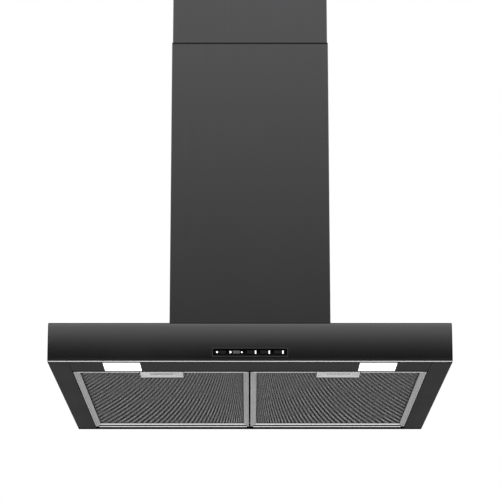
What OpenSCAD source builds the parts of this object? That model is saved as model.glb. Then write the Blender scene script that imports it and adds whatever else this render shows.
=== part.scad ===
// Island range hood: a shallow square canopy under a two-part telescopic chimney.
// Millimetres, +Z up, +X to the right as seen from the front, which faces -Y.
// The origin is the centre of the ceiling bracket's upper face.

/* [Overall] */
// Canopy width, left to right
canopy_w = 598; // [500:1:720]
// Canopy depth, front to back
canopy_d = 600; // [500:1:720]
// Canopy height at its edge
canopy_h = 58; // [52:1:80]
// Height from the canopy's underside to the ceiling
total_h = 820; // [760:1:1000]

/* [Chimney] */
// Outside width of the lower chimney
chimney_w = 252; // [230:1:320]
// Outside depth of the lower chimney
chimney_d = 252; // [230:1:320]
// Height of the lower chimney above the canopy
lower_chimney_h = 500; // [440:1:600]
// Length that the upper chimney hides inside the lower one
chimney_overlap = 218; // [150:1:260]
// Sheet thickness of the chimney
chimney_t = 0.8; // [0.6:0.1:1.2]
// Gap between the sliding chimney sections, each side
chimney_gap = 0.4; // [0.3:0.1:1]

/* [Canopy sheet] */
// Sheet thickness of the canopy's top and walls
shell_t = 1; // [0.8:0.1:1.5]
// Thickness of the underside plates
plate_t = 1.2; // [1:0.1:2]
// Width of each side rail of the underside
rail_w = 30.7; // [24:0.1:50]
// Depth of the rear land of the underside
rear_land = 13.5; // [13:0.5:40]
// Height of the upstands beside the filters
upstand_h = 24; // [20:1:30]

/* [Front] */
// Depth of the folded front panel
fascia_depth = 6; // [4:0.5:10]
// Sheet thickness of the front panel
fascia_t = 1.2; // [1:0.1:2]
// Height of the bright strip under the front panel
trim_h = 1.7; // [1.2:0.1:3]
// Shadow gap behind the bright strip
trim_gap = 0.6; // [0.3:0.1:2]
// Distance from the front face to the rear edge of the lamp strip
strip_rear = 78; // [76:1:100]

/* [Lamps] */
// Lamp window width
lamp_w = 55; // [40:1:70]
// Lamp window depth
lamp_d = 65; // [50:1:65]
// Distance of each lamp's centre from the middle
lamp_x = 190.5; // [150:0.5:200]

/* [Filters] */
// Gap between the two filters
filter_gap = 1.8; // [1:0.1:4]
// Clearance at each filter's outer side
filter_side_clear = 0.8; // [0.5:0.1:2]
// Width of a filter's frame bar
bar_w = 9.2; // [9:0.1:14]
// Height of the filter's lower rim above the underside
filter_rim_z = 1.5; // [1.4:0.1:3]
// Height of a filter cassette
filter_h = 10.5; // [9.5:0.5:14]
// Depth of the mesh above the frame's face
mesh_recess = 2.5; // [1:0.1:3]
// Thickness of the mesh pack
mesh_t = 1.5; // [1:0.1:2]
// Radius of a filter's pivot pin
pivot_r = 1.5; // [1:0.1:2]
// Width of the latch handle
handle_w = 65; // [50:1:90]
// Depth of the latch handle
handle_d = 46; // [42:1:60]

/* [Controls] */
// Width of the control window
window_w = 109.6; // [100:0.1:140]
// Height of the control window
window_h = 9.8; // [8:0.1:14]
// Height of the window's centre above the underside
window_z = 14.4; // [12:0.1:20]
// Button width
button_w = 10; // [8:0.5:14]
// Button height
button_h = 4.6; // [3:0.1:6]
// Distance between button centres
button_pitch = 20.2; // [18:0.1:22]
// Button travel
button_travel = 1.5; // [0.8:0.1:2]

/* [Blower] */
// Radius of the round outlet, outside
duct_r = 74.5; // [60:0.5:76]
// Length of the round outlet
duct_h = 50; // [40:1:70]
// Height of the blower box
blower_h = 236; // [220:1:280]
// Free width beside the fan housing for each inlet
inlet_space = 44; // [35:1:60]
// Width of the cut-out under the blower, less the box's inner flange
box_flange = 12; // [10:1:20]

/* [Suspension frame] */
// Leg width of the corner angles
angle_leg = 22; // [18:1:26]
// Thickness of the corner angles
angle_t = 2; // [1.5:0.1:3]
// Length of the lower corner angles
lower_angle_l = 450; // [380:10:520]
// Overlap of the upper and lower angles
angle_overlap = 120; // [80:10:180]
// Width of the ceiling bracket's ring
bracket_ring = 28; // [26:1:34]
// Thickness of the ceiling bracket
bracket_t = 2.5; // [2:0.1:4]
// Radius of the ceiling screw holes
ceiling_hole_r = 4; // [3:0.5:5]
// Distance of the ceiling screws from the bracket's edge
ceiling_hole_edge = 18; // [15:0.5:22]

/* [Hidden] */
$fn = 48;
e = 0.01;
SIDES = ["left", "right"];

// Heights above the canopy's underside
z_top = canopy_h;
z_base = z_top + 2;
z_ceiling = total_h;
z_blower_top = z_base + blower_h;

// Canopy outline
x_side = canopy_w / 2;
y_front = -canopy_d / 2;
y_back = canopy_d / 2;
y_wall = y_front + fascia_depth;
trim_d = fascia_depth;
y_under = y_front + trim_d + trim_gap;
open_x = x_side - rail_w;
open_back = y_back - rear_land;
y_strip = y_front + strip_rear;
lamp_set = 9.5;
lamp_y = y_front + lamp_set + lamp_d / 2;

// Chimney and frame lines, measured inwards from the outer skin
low_in_x = chimney_w / 2 - chimney_t;
low_in_y = chimney_d / 2 - chimney_t;
up_out_x = low_in_x - chimney_gap;
up_out_y = low_in_y - chimney_gap;
up_in_x = up_out_x - chimney_t;
up_in_y = up_out_y - chimney_t;
frame_clear = 0.5;
flange_x = up_in_x - frame_clear;
flange_y = up_in_y - frame_clear;
upper_ang_x = flange_x - bracket_t;
upper_ang_y = flange_y - bracket_t;
lower_ang_x = upper_ang_x + angle_t;
lower_ang_y = upper_ang_y + angle_t;
upper_chimney_z = z_top + lower_chimney_h - chimney_overlap;
upper_angle_z = z_base + lower_angle_l - angle_overlap;
base_clear = 0.5;
base_x = low_in_x - base_clear;
base_y = low_in_y - base_clear;
bolt_r = 3;
foot_in = angle_leg / 2 + angle_t / 2;

// Blower box, inside the feet of the frame and clear of the chimney
box_t = 1;
box_x = lower_ang_x - angle_leg - 2;
box_y = lower_ang_y - 6;
box_in_y = box_y - box_t;
vol_t = 2;
vol_x = box_x - box_t - inlet_space;
growth = 32;
tongue_a = 70;
vol_clear = 1.5;
// Housing radii: the half turn and the full turn together fill the box's depth
vol_r0 = box_in_y - vol_clear - vol_t - growth * (1 + (180 - tongue_a) / (360 - tongue_a)) / 2;
vol_y = box_in_y - vol_clear - vol_t - (vol_r0 + growth);
vol_z = z_base + 4 + vol_t + vol_r0 + growth;
fan_r = vol_r0 - 7;
fan_in_r = fan_r - 16;
inlet_r = fan_r - 10;
fan_x = vol_x - vol_t - 4;
motor_r = fan_in_r - 10;
motor_x = vol_x - 6;
boss_r = 8;
ARM_ANGLES = [30, 150, 270];
arm_t = 2;
arm_hw = 6;
bush_t = 2;
bush_y = inlet_r + 4;
shaft_r = 4;
mouth_y0 = vol_y + vol_r0 * cos(tongue_a);
mouth_y1 = vol_y + vol_r0 + growth;
adapter_h = 60;
duct_t = 2.5;
duct_in_r = duct_r - duct_t;
flap_z = z_blower_top + adapter_h + 14;
flap_pin_r = 1.5;
flap_t = 1.5;

// Mains box on top of the blower
power_h = 40;
power_d = 30;
power_hx = 45;
power_t = 2;
box_lid_z = z_blower_top + power_h;
power_y0 = -box_y + power_t;
power_y1 = power_y0 + power_d;
power_y = (power_y0 + power_y1) / 2;
gland_z = z_blower_top + power_h * 0.6;
gland_r = 6;

// Lamp driver under the canopy's top
driver_w = 100;
driver_d = 42;
driver_h = 22;
driver_x = -130;
driver_y = y_wall + 117;

// Filters
filter_in = filter_gap / 2;
filter_out = open_x - filter_side_clear;
filter_mid = (filter_in + filter_out) / 2;
filter_y0 = y_strip + 1.5;
filter_y1 = open_back - 6.5;
flat_z = filter_rim_z + 1.5;
flange_top = flat_z + 1.2;
rim_w = 1.5;
groove = 1.5;
body_in = 5;
filter_top = filter_rim_z + filter_h;
mesh_z = flat_z + mesh_recess;
pivot_y = filter_y1 - 8;
pivot_z = filter_rim_z + 6.5;
pivot_gap = 0.1;
hanger_x = 4.8;
rail_z = upstand_h - 6;

// Latches
handle_y0 = filter_y0 + rim_w + 0.3;
handle_y1 = handle_y0 + handle_d;
handle_z0 = 0.8;
bar_y1 = filter_y0 + bar_w;
tongue_z = 8.2;
tongue_t = 1.6;
tongue_hx = 8;
slot_clear = 0.4;
ledge_top = tongue_z - slot_clear;
latch_rest_gap = 0.3;
latch_travel = 5;
latch_lock = 3.5;
latch_y0 = y_strip + latch_rest_gap;
block_y0 = bar_y1 + 4.2;
block_y1 = block_y0 + 10;
pull_y0 = block_y0 + 4;
spring_y1 = handle_y1 - 1.5;
handle_top = tongue_z + tongue_t + slot_clear + 0.8;
cavity_hx = 17.5;

// Controls, measured back from the front face
window_t = 2.5;
window_set = 0.3;
window_back = window_set + window_t;
window_fit = 0.15;
button_proud = 0.6;
button_fit = 0.3;
flange_gap = 0.4;
board_set = 9;
board_t = 1.6;
housing_t = 1.5;
housing_d = board_set + board_t + 6;
housing_hx = window_w / 2 + 5;
housing_hz = window_h / 2 + 4;
n_buttons = 5;
loom_x = 30;

// ---------- helpers ----------

module from_underside() {
    translate([0, 0, -total_h]) children();
}

// A block from its limits along each axis
module block(x, y, z) {
    translate([x[0], y[0], z[0]]) cube([x[1] - x[0], y[1] - y[0], z[1] - z[0]]);
}

// A block centred on the Z axis, from its half sizes
module centred(hx, hy, z) {
    block([-hx, hx], [-hy, hy], z);
}

// The right-hand piece as drawn, or its mirror image on the left
module handed(side) {
    if (side == "right") children();
    else mirror([1, 0, 0]) children();
}

module four_corners(x, y) {
    for (sx = [-1, 1]) for (sy = [-1, 1]) translate([sx * x, sy * y, 0]) children();
}

// A rod along X between two places
module rod_x(x, y, z, r) {
    translate([x[0], y, z]) rotate([0, 90, 0]) cylinder(r = r, h = x[1] - x[0]);
}

// A rod along Y between two places
module rod_y(x, y, z, r) {
    translate([x, y[0], z]) rotate([-90, 0, 0]) cylinder(r = r, h = y[1] - y[0]);
}

function unit(v) = v / norm(v);
function heading(p, i) = unit(p[min(i + 1, len(p) - 1)] - p[max(i - 1, 0)]);

// A round tube swept along points, none of whose headings may be parallel to ref
module sweep(path, r, ring, ref) {
    last = len(path) - 1;
    pts = [for (i = [0:last]) for (j = [0:ring - 1])
        let (t = heading(path, i), u = unit(cross(ref, t)), v = cross(t, u), a = 360 * j / ring)
            path[i] + r * (u * cos(a) + v * sin(a))];
    walls = [for (i = [0:last - 1]) for (j = [0:ring - 1])
        [i * ring + j, (i + 1) * ring + j, (i + 1) * ring + (j + 1) % ring, i * ring + (j + 1) % ring]];
    caps = [[for (j = [0:ring - 1]) j], [for (j = [ring - 1:-1:0]) last * ring + j]];
    polyhedron(points = pts, faces = concat(walls, caps));
}

// ---------- suspension frame ----------

module ceiling_bracket() {
    color("silver") translate([0, 0, -bracket_t]) difference() {
        union() {
            centred(flange_x, flange_y, [0, bracket_t]);
            difference() {
                centred(flange_x, flange_y, [-24, e]);
                centred(upper_ang_x, upper_ang_y, [-25, 1]);
            }
        }
        centred(flange_x - bracket_ring, flange_y - bracket_ring, [-1, bracket_t + 1]);
        four_corners(flange_x - ceiling_hole_edge, flange_y - ceiling_hole_edge)
            translate([0, 0, -1]) cylinder(r = ceiling_hole_r, h = bracket_t + 2);
        chimney_screw_axes() rod_x([-8, 8], 0, 0, 1.6);
    }
}

// One L-shaped corner angle in each corner, with outer faces at x and y
module corner_angles(x, y, z) {
    for (sx = [-1, 1]) for (sy = [-1, 1]) in_corner(sx, sy) difference() {
        block([x - angle_leg, x], [y - angle_leg, y], z);
        block([x - angle_leg - 1, x - angle_t], [y - angle_leg - 1, y - angle_t], [z[0] - 1, z[1] + 1]);
    }
}

module in_corner(sx, sy) {
    mirror([sx < 0 ? 1 : 0, 0, 0]) mirror([0, sy < 0 ? 1 : 0, 0]) children();
}

// Places of the bolts that join upper and lower angles
module joint_bolt_axes() {
    for (sx = [-1, 1]) for (sy = [-1, 1]) for (k = [0, 1])
        in_corner(sx, sy)
            translate([0, lower_ang_y - angle_leg / 2, upper_angle_z + 30 + k * (angle_overlap - 60)])
                children();
}

module upper_uprights() {
    color("silver") from_underside() difference() {
        corner_angles(upper_ang_x, upper_ang_y, [upper_angle_z, z_ceiling - bracket_t]);
        joint_bolt_axes() rod_x([upper_ang_x - 8, upper_ang_x + 1], 0, 0, bolt_r + 0.1);
    }
}

module lower_uprights() {
    color("silver") from_underside() difference() {
        union() {
            corner_angles(lower_ang_x, lower_ang_y, [z_base, z_base + lower_angle_l]);
            for (sx = [-1, 1]) for (sy = [-1, 1]) in_corner(sx, sy)
                block([lower_ang_x - angle_leg, lower_ang_x - angle_t + e],
                      [lower_ang_y - angle_leg, lower_ang_y - angle_t + e], [z_base, z_base + angle_t]);
        }
        joint_bolt_axes() rod_x([upper_ang_x - 1, lower_ang_x + 1], 0, 0, bolt_r + 0.1);
        four_corners(lower_ang_x - foot_in, lower_ang_y - foot_in)
            translate([0, 0, z_base - 1]) cylinder(r = bolt_r + 0.1, h = angle_t + 2);
    }
}

module frame_base() {
    color("silver") from_underside() difference() {
        centred(base_x, base_y, [z_top, z_base]);
        centred(box_x - box_flange, box_y - box_flange, [z_top - 1, z_base + 1]);
        four_corners(lower_ang_x - foot_in, lower_ang_y - foot_in)
            translate([0, 0, z_top - 1]) cylinder(r = bolt_r + 0.1, h = 4);
        blower_screw_places() translate([0, 0, z_top - 1]) cylinder(r = 2.1, h = 4);
    }
}

module frame_bolts() {
    color("dimgray") from_underside() joint_bolt_axes() {
        rod_x([upper_ang_x - angle_t, lower_ang_x - 0.1], 0, 0, bolt_r);
        translate([upper_ang_x - angle_t - 4, 0, 0]) rotate([0, 90, 0]) cylinder(r = 5.5, h = 4, $fn = 6);
    }
}

// ---------- chimney ----------

module chimney_tube(hx, hy, z) {
    difference() {
        centred(hx, hy, z);
        centred(hx - chimney_t, hy - chimney_t, [z[0] - 1, z[1] + 1]);
    }
}

// Screws at the top of the upper chimney, into the bracket's side flanges
module chimney_screw_axes() {
    for (sx = [-1, 1]) for (sy = [-1, 1]) in_corner(sx, sy)
        translate([up_in_x, up_in_y * 0.6, -14]) children();
}

module upper_chimney() {
    color([0.2, 0.2, 0.205]) from_underside() difference() {
        chimney_tube(up_out_x, up_out_y, [upper_chimney_z, z_ceiling - 1]);
        translate([0, 0, z_ceiling - bracket_t]) chimney_screw_axes() rod_x([-2, 3], 0, 0, 2.1);
    }
}

module lower_chimney() {
    color([0.2, 0.2, 0.205]) from_underside()
        chimney_tube(chimney_w / 2, chimney_d / 2, [z_top, z_top + lower_chimney_h]);
}

module chimney_screws() {
    color("black") translate([0, 0, -bracket_t]) chimney_screw_axes() {
        rod_x([-frame_clear - bracket_t, chimney_t + e], 0, 0, 1.5);
        translate([chimney_t, 0, 0]) rotate([0, 90, 0]) cylinder(r1 = 3.6, r2 = 2.4, h = 1.8);
    }
}

// ---------- canopy ----------

module air_opening(z) {
    centred(box_x - box_flange, box_y - box_flange, z);
}

module canopy_shell() {
    color([0.17, 0.17, 0.175]) from_underside() difference() {
        block([-x_side, x_side], [y_wall, y_back], [plate_t, z_top]);
        block([-x_side + shell_t, x_side - shell_t], [y_wall + shell_t, y_back - shell_t],
              [plate_t - 1, z_top - shell_t]);
        air_opening([z_top - 5, z_top + 1]);
        block([-housing_hx - 0.5, housing_hx + 0.5], [y_wall - 1, y_wall + shell_t + 1],
              [window_z - housing_hz - 0.5, window_z + housing_hz + 0.5]);
        four_corners(lower_ang_x - foot_in, lower_ang_y - foot_in)
            translate([0, 0, z_top - 5]) cylinder(r = bolt_r + 0.1, h = 6);
        blower_screw_places() translate([0, 0, z_top - 5]) cylinder(r = 2.1, h = 6);
    }
}

module canopy_bolts() {
    stack = angle_t + (z_base - z_top) + shell_t;
    color("dimgray") from_underside() four_corners(lower_ang_x - foot_in, lower_ang_y - foot_in)
        translate([0, 0, z_base + angle_t]) {
            cylinder(r = 5.5, h = 4, $fn = 6);
            translate([0, 0, -stack - 5]) cylinder(r = bolt_r, h = stack + 5 + e);
            translate([0, 0, -stack - 5]) cylinder(r = 5.5, h = 5, $fn = 6);
        }
}

module front_fascia() {
    color([0.12, 0.12, 0.125]) from_underside() difference() {
        block([-x_side, x_side], [y_front, y_wall], [trim_h, z_top]);
        block([-x_side + fascia_t, x_side - fascia_t], [y_front + fascia_t, y_wall + 1],
              [trim_h + fascia_t, z_top - fascia_t]);
        window_cut(window_fit);
    }
}

// The window's outline, grown by a clearance, through the front panel
module window_cut(grow) {
    block([-window_w / 2 - grow, window_w / 2 + grow], [y_front - 1, y_front + fascia_t + 1],
          [window_z - window_h / 2 - grow, window_z + window_h / 2 + grow]);
}

module fascia_trim() {
    color([0.8, 0.8, 0.8]) from_underside()
        block([-x_side, x_side], [y_front, y_front + trim_d], [0, trim_h]);
}

// Side rails and rear land in one folded plate, open at the front for the lamp strip
module underside_frame() {
    color([0.2, 0.2, 0.2]) from_underside() difference() {
        union() {
            block([-x_side, x_side], [y_under, y_back], [0, plate_t]);
            for (side = SIDES) handed(side)
                block([open_x, open_x + plate_t], [y_wall + shell_t + 0.5, open_back + plate_t],
                      [0, upstand_h]);
            block([-open_x, open_x], [open_back, open_back + plate_t], [0, rail_z - 4]);
        }
        block([-open_x, open_x], [y_under - 1, open_back], [-1, upstand_h + 1]);
        for (side = SIDES) handed(side)
            rod_x([open_x - 1, open_x + plate_t + 1], pivot_y, pivot_z, pivot_r + pivot_gap);
    }
}

// Lamp strip across the front, with the ledge that the filter latches lock over
module lamp_panel() {
    gap = 0.35;
    color([0.2, 0.2, 0.2]) from_underside() difference() {
        union() {
            block([-open_x + gap, open_x - gap], [y_under, y_strip], [0, plate_t]);
            block([-open_x + gap, open_x - gap], [y_strip - plate_t, y_strip], [0, upstand_h - 10]);
            for (side = SIDES) handed(side)
                block([open_x - gap - plate_t, open_x - gap], [y_wall + 3, y_strip], [0, upstand_h - 4]);
        }
        for (side = SIDES) handed(side) {
            translate([lamp_x, lamp_y, 0])
                centred(lamp_w / 2, lamp_d / 2, [-1, plate_t + 1]);
            block([filter_mid - tongue_hx - 1, filter_mid + tongue_hx + 1],
                  [y_strip - plate_t - 1, y_strip + 1], [ledge_top, upstand_h]);
        }
    }
}

// Bar above the rear of the filters, whose middle block holds their inner pivots
module filter_rail() {
    drop_r = pivot_r + 1.7;
    color("silver") from_underside() difference() {
        union() {
            block([-open_x, open_x], [pivot_y - 10, pivot_y + 10], [rail_z, rail_z + 2]);
            block([-hanger_x, hanger_x], [pivot_y - drop_r, pivot_y + drop_r], [pivot_z, rail_z + e]);
            rod_x([-hanger_x, hanger_x], pivot_y, pivot_z, drop_r);
        }
        rod_x([-hanger_x - 1, hanger_x + 1], pivot_y, pivot_z, pivot_r + pivot_gap);
    }
}

// ---------- lamps ----------

module at_lamp(side) {
    from_underside() handed(side) translate([lamp_x, lamp_y, 0]) children();
}

module lamp_lens(side) {
    fit = 0.2;
    color([1, 1, 1]) at_lamp(side) {
        centred(lamp_w / 2 - fit, lamp_d / 2 - fit, [0.2, plate_t + e]);
        block([-lamp_w / 2 - 2, lamp_w / 2 + 2], [-lamp_d / 2 + fit, lamp_d / 2 - fit],
              [plate_t, plate_t + 1.8]);
    }
}

module lamp_housing(side) {
    z0 = plate_t + 1.8;
    color("whitesmoke") at_lamp(side) difference() {
        union() {
            centred(lamp_w / 2 + 2, lamp_d / 2 + 0.4, [z0, z0 + 14]);
            block([-lamp_w / 2 - 7, lamp_w / 2 + 7], [-7, 7], [plate_t, plate_t + 2]);
        }
        centred(lamp_w / 2 + 0.6, lamp_d / 2 - 1, [z0 - e, z0 + 12.6]);
        centred(lamp_w / 2 + 2, lamp_d / 2, [plate_t - 1, z0]);
        rod_y(0, [0, lamp_d], z0 + 9, 2.2);
    }
}

module led_board(side) {
    z1 = plate_t + 1.8 + 12.6;
    color([0.95, 0.95, 0.9]) at_lamp(side) {
        centred(lamp_w / 2 - 1, lamp_d / 2 - 2, [z1 - 1.6, z1]);
        for (i = [-1:1]) for (j = [-1:1])
            translate([i * lamp_w * 0.3, j * lamp_d * 0.3, 0]) centred(1.8, 1.8, [z1 - 2.6, z1 - 1.6 + e]);
    }
}

module led_driver() {
    ear_l = 10;
    color("white") from_underside() difference() {
        block([driver_x - driver_w, driver_x], [driver_y - driver_d / 2, driver_y + driver_d / 2],
              [z_top - shell_t - driver_h, z_top - shell_t]);
        for (x = [driver_x - driver_w - 1, driver_x - ear_l])
            block([x, x + ear_l + 1], [driver_y - 5, driver_y + 5],
                  [z_top - shell_t - driver_h - 1, z_top - shell_t - driver_h / 2]);
    }
}

// ---------- filters ----------

// A ring between the filter's outline shrunk by a and by b
module filter_ring(a, b, z) {
    difference() {
        block([filter_in + a, filter_out - a], [filter_y0 + a, filter_y1 - a], z);
        block([filter_in + b, filter_out - b], [filter_y0 + b, filter_y1 - b], [z[0] - 1, z[1] + 1]);
    }
}

module filter_frame(side) {
    rib_hw = 3;
    color([0.75, 0.75, 0.76]) from_underside() handed(side) {
        difference() {
            union() {
                filter_ring(0, rim_w, [filter_rim_z, flat_z + e]);
                filter_ring(0, bar_w, [flat_z, flange_top]);
                filter_ring(body_in, bar_w, [flange_top - e, filter_top]);
                for (k = [1, 2]) translate([0, filter_y0 + k * (filter_y1 - filter_y0) / 3, 0])
                    block([filter_in + bar_w - e, filter_out - bar_w + e], [-rib_hw, rib_hw],
                          [mesh_z + mesh_t, filter_top - 1]);
            }
            block([filter_in + bar_w - groove, filter_out - bar_w + groove],
                  [filter_y0 + bar_w - groove, filter_y1 - bar_w + groove], [mesh_z, mesh_z + mesh_t]);
            block([filter_mid - cavity_hx, filter_mid + cavity_hx], [filter_y0 + body_in - 1, bar_y1 + 1],
                  [ledge_top, tongue_z + tongue_t + slot_clear]);
        }
        rod_x([filter_out - body_in - e, open_x + plate_t - 0.1], pivot_y, pivot_z, pivot_r);
        rod_x([0.6, filter_in + body_in + e], pivot_y, pivot_z, pivot_r);
    }
}

module filter_mesh(side) {
    color([0.35, 0.35, 0.36]) from_underside() handed(side) difference() {
        block([filter_in + bar_w - groove, filter_out - bar_w + groove],
              [filter_y0 + bar_w - groove, filter_y1 - bar_w + groove], [mesh_z, mesh_z + mesh_t]);
        block([filter_mid - handle_w / 2, filter_mid + handle_w / 2], [filter_y0, handle_y1],
              [mesh_z - 1, mesh_z + mesh_t + 1]);
    }
}

// Latch handle: a plate over the front bar and a shallow case behind it for the slider
module filter_handle(side) {
    hw = handle_w / 2;
    color([0.85, 0.85, 0.86]) from_underside() handed(side) translate([filter_mid, 0, 0]) difference() {
        union() {
            block([-hw, hw], [handle_y0, handle_y1], [handle_z0, flat_z]);
            block([-hw, hw], [bar_y1, handle_y1], [handle_z0, handle_top]);
        }
        // run of the slider, open towards the front bar
        block([-cavity_hx - slot_clear, cavity_hx + slot_clear], [bar_y1 - 1, spring_y1],
              [tongue_z - 3.4, tongue_z + tongue_t + slot_clear]);
        // finger slot
        block([-cavity_hx, cavity_hx], [pull_y0 - latch_lock - 0.8, pull_y0 + latch_travel + 3.4],
              [handle_z0 - 1, tongue_z]);
        // thumb groove behind the slot
        block([-hw + 3, hw - 3], [handle_y1 - 12, handle_y1 - 10.5], [handle_z0 - 1, handle_z0 + 0.5]);
    }
}

// Sliding tongue with its finger pull
module filter_latch(side) {
    color([0.8, 0.8, 0.81]) from_underside() handed(side) translate([filter_mid, 0, 0]) {
        block([-tongue_hx, tongue_hx], [latch_y0, block_y0 + e], [tongue_z, tongue_z + tongue_t]);
        block([-cavity_hx + 0.5, cavity_hx - 0.5], [block_y0, block_y1], [tongue_z - 3, tongue_z + tongue_t]);
        block([-cavity_hx + 0.8, cavity_hx - 0.8], [pull_y0, pull_y0 + 2], [handle_z0 + 0.6, tongue_z - 3 + e]);
    }
}

// Light coil springs behind the slider
module latch_spring(side) {
    turns = 6;
    steps = turns * 8;
    coil_r = 1.5;
    wire_r = 0.25;
    y0 = block_y1 + wire_r + 0.05;
    y1 = spring_y1 - wire_r - 0.05;
    coil = [for (i = [0:steps]) let (a = 360 * turns * i / steps)
        [coil_r * cos(a), y0 + (y1 - y0) * i / steps, coil_r * sin(a)]];
    color("silver") from_underside() handed(side)
        for (x = [-9, 9]) translate([filter_mid + x, 0, tongue_z - 0.7]) sweep(coil, wire_r, 5, [0, 1, 0]);
}

// ---------- blower ----------

module blower_screw_places() {
    inset = box_flange / 2;
    for (sy = [-1, 1]) for (k = [-1:1])
        translate([k * (box_x - 14), sy * (box_y - inset), 0]) children();
}

module blower_box() {
    color("silver") from_underside() difference() {
        centred(box_x, box_y, [z_base, z_blower_top]);
        centred(box_x - box_t, box_y - box_t, [z_base + box_t, z_blower_top - box_t]);
        centred(box_x - box_flange, box_y - box_flange, [z_base - 1, z_base + box_t + 1]);
        block([-vol_x, vol_x], [mouth_y0, mouth_y1], [z_blower_top - box_t - 1, z_blower_top + 1]);
        blower_screw_places() translate([0, 0, z_base - 1]) cylinder(r = 2.1, h = 4);
    }
}

module blower_screws() {
    color("dimgray") from_underside() blower_screw_places() {
        translate([0, 0, z_top - shell_t - 2]) cylinder(r = 3.8, h = 2);
        translate([0, 0, z_top - shell_t - e]) cylinder(r = 2, h = z_base + box_t - z_top + shell_t + 3);
    }
}

// Spiral outline round the fan with its straight mouth, grown outwards by a wall thickness
function scroll_r(a) = vol_r0 + growth * (a - tongue_a) / (360 - tongue_a);
function scroll(grow, top) = concat(
    [[mouth_y0 - vol_y - grow, top]],
    [[mouth_y0 - vol_y - grow, vol_r0 * sin(tongue_a) + grow]],
    [for (a = [tongue_a + 10:10:360]) (scroll_r(a) + grow) * [cos(a), sin(a)]],
    [[vol_r0 + growth + grow, top]]);

module scroll_solid(grow, top, x) {
    translate([x[0], vol_y, vol_z]) rotate([90, 0, 90]) linear_extrude(x[1] - x[0]) polygon(scroll(grow, top));
}

module volute(side) {
    top = z_blower_top - vol_z;
    color([0.25, 0.25, 0.26]) from_underside() handed(side) difference() {
        scroll_solid(vol_t, top - box_t, [0, vol_x]);
        scroll_solid(0, top + 1, [-1, vol_x - vol_t]);
        rod_x([vol_x - vol_t - 1, vol_x + 1], vol_y, vol_z, inlet_r);
    }
}

module impeller() {
    blades = 28;
    blade_w = 13;
    color([0.3, 0.3, 0.31]) from_underside() translate([0, vol_y, vol_z]) difference() {
        union() {
            rod_x([-1, 1], 0, 0, fan_r);
            rod_x([-9, 9], 0, 0, shaft_r + 6);
            for (side = SIDES) handed(side) difference() {
                rod_x([fan_x - 3, fan_x], 0, 0, fan_r);
                rod_x([fan_x - 4, fan_x + 1], 0, 0, fan_in_r + 1);
            }
            for (i = [0:blades - 1]) rotate([360 * i / blades, 0, 0])
                translate([0, fan_in_r + 1.6, 0]) rotate([28, 0, 0])
                    block([-fan_x + 1, fan_x - 1], [0, blade_w], [-0.6, 0.6]);
        }
        rod_x([-12, 12], 0, 0, shaft_r);
    }
}

module motor() {
    x0 = 12;
    color([0.5, 0.5, 0.52]) from_underside() translate([0, vol_y, vol_z]) {
        rod_x([x0, motor_x], 0, 0, motor_r);
        rod_x([x0 - 2, x0 + e], 0, 0, motor_r * 0.45);
        rod_x([motor_x - e, motor_x + 12], 0, 0, boss_r);
    }
}

// Three arms from the motor's rear boss to the side wall of the housing
module motor_bracket() {
    color("silver") from_underside() translate([0, vol_y, vol_z]) difference() {
        union() {
            rod_x([motor_x, motor_x + arm_t], 0, 0, motor_r * 0.6);
            for (a = ARM_ANGLES) rotate([a, 0, 0]) {
                block([motor_x, motor_x + arm_t], [0, inlet_r - 8], [-arm_hw, arm_hw]);
                block([motor_x, vol_x + bush_t + arm_t], [inlet_r - 10, inlet_r - 8], [-arm_hw, arm_hw]);
                block([vol_x + bush_t, vol_x + bush_t + arm_t], [inlet_r - 10, bush_y + 5], [-arm_hw, arm_hw]);
            }
        }
        rod_x([motor_x - 1, motor_x + arm_t + 1], 0, 0, boss_r + 0.2);
        for (a = ARM_ANGLES) rotate([a, 0, 0]) rod_x([vol_x + 1, vol_x + 5], bush_y, 0, 2);
    }
}

module motor_bushes() {
    color([0.1, 0.1, 0.1]) from_underside() translate([0, vol_y, vol_z])
        for (a = ARM_ANGLES) rotate([a, 0, 0]) rod_x([vol_x, vol_x + bush_t], bush_y, 0, 4.2);
}

module capacitor() {
    color("white") from_underside() translate([-vol_x - 15, -box_y + box_t + 16, z_blower_top - 70]) {
        cylinder(r = 14, h = 48);
        translate([0, 0, 48 - e]) cylinder(r = 4, h = 8);
        block([-2, 2], [-16, 0], [10, 36]);
    }
}

// Plastic outlet: flange, transition from the mouth to the round collar, flap seats
module outlet_adapter() {
    z0 = z_blower_top;
    z1 = z0 + adapter_h;
    seat_r = duct_in_r - 4;
    color([0.13, 0.13, 0.13]) from_underside() difference() {
        union() {
            block([-vol_x - 10, vol_x + 10], [mouth_y0 - 10, min(mouth_y1 + 10, box_y)], [z0, z0 + 3]);
            hull() {
                block([-vol_x - duct_t, vol_x + duct_t], [mouth_y0 - duct_t, mouth_y1 + duct_t],
                      [z0 + 2, z0 + 3]);
                translate([0, 0, z1 - 1]) cylinder(r = duct_r, h = 1 + e);
            }
            translate([0, 0, z1]) cylinder(r = duct_r, h = duct_h);
            translate([0, 0, z1]) cylinder(r = duct_r + 4, h = 3);
        }
        hull() {
            block([-vol_x + e, vol_x - e], [mouth_y0, mouth_y1], [z0 - 1, z0 + 3]);
            translate([0, 0, z1 - 1]) cylinder(r = seat_r, h = 2);
        }
        translate([0, 0, z1 - e]) cylinder(r = seat_r, h = duct_h);
        translate([0, 0, flap_z - flap_t]) cylinder(r = duct_in_r, h = duct_h);
        rod_x([-duct_r - 1, duct_r + 1], 0, flap_z, flap_pin_r);
    }
}

module flap_pin() {
    color("silver") from_underside() rod_x([-duct_r, duct_r], 0, flap_z, flap_pin_r);
}

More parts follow.
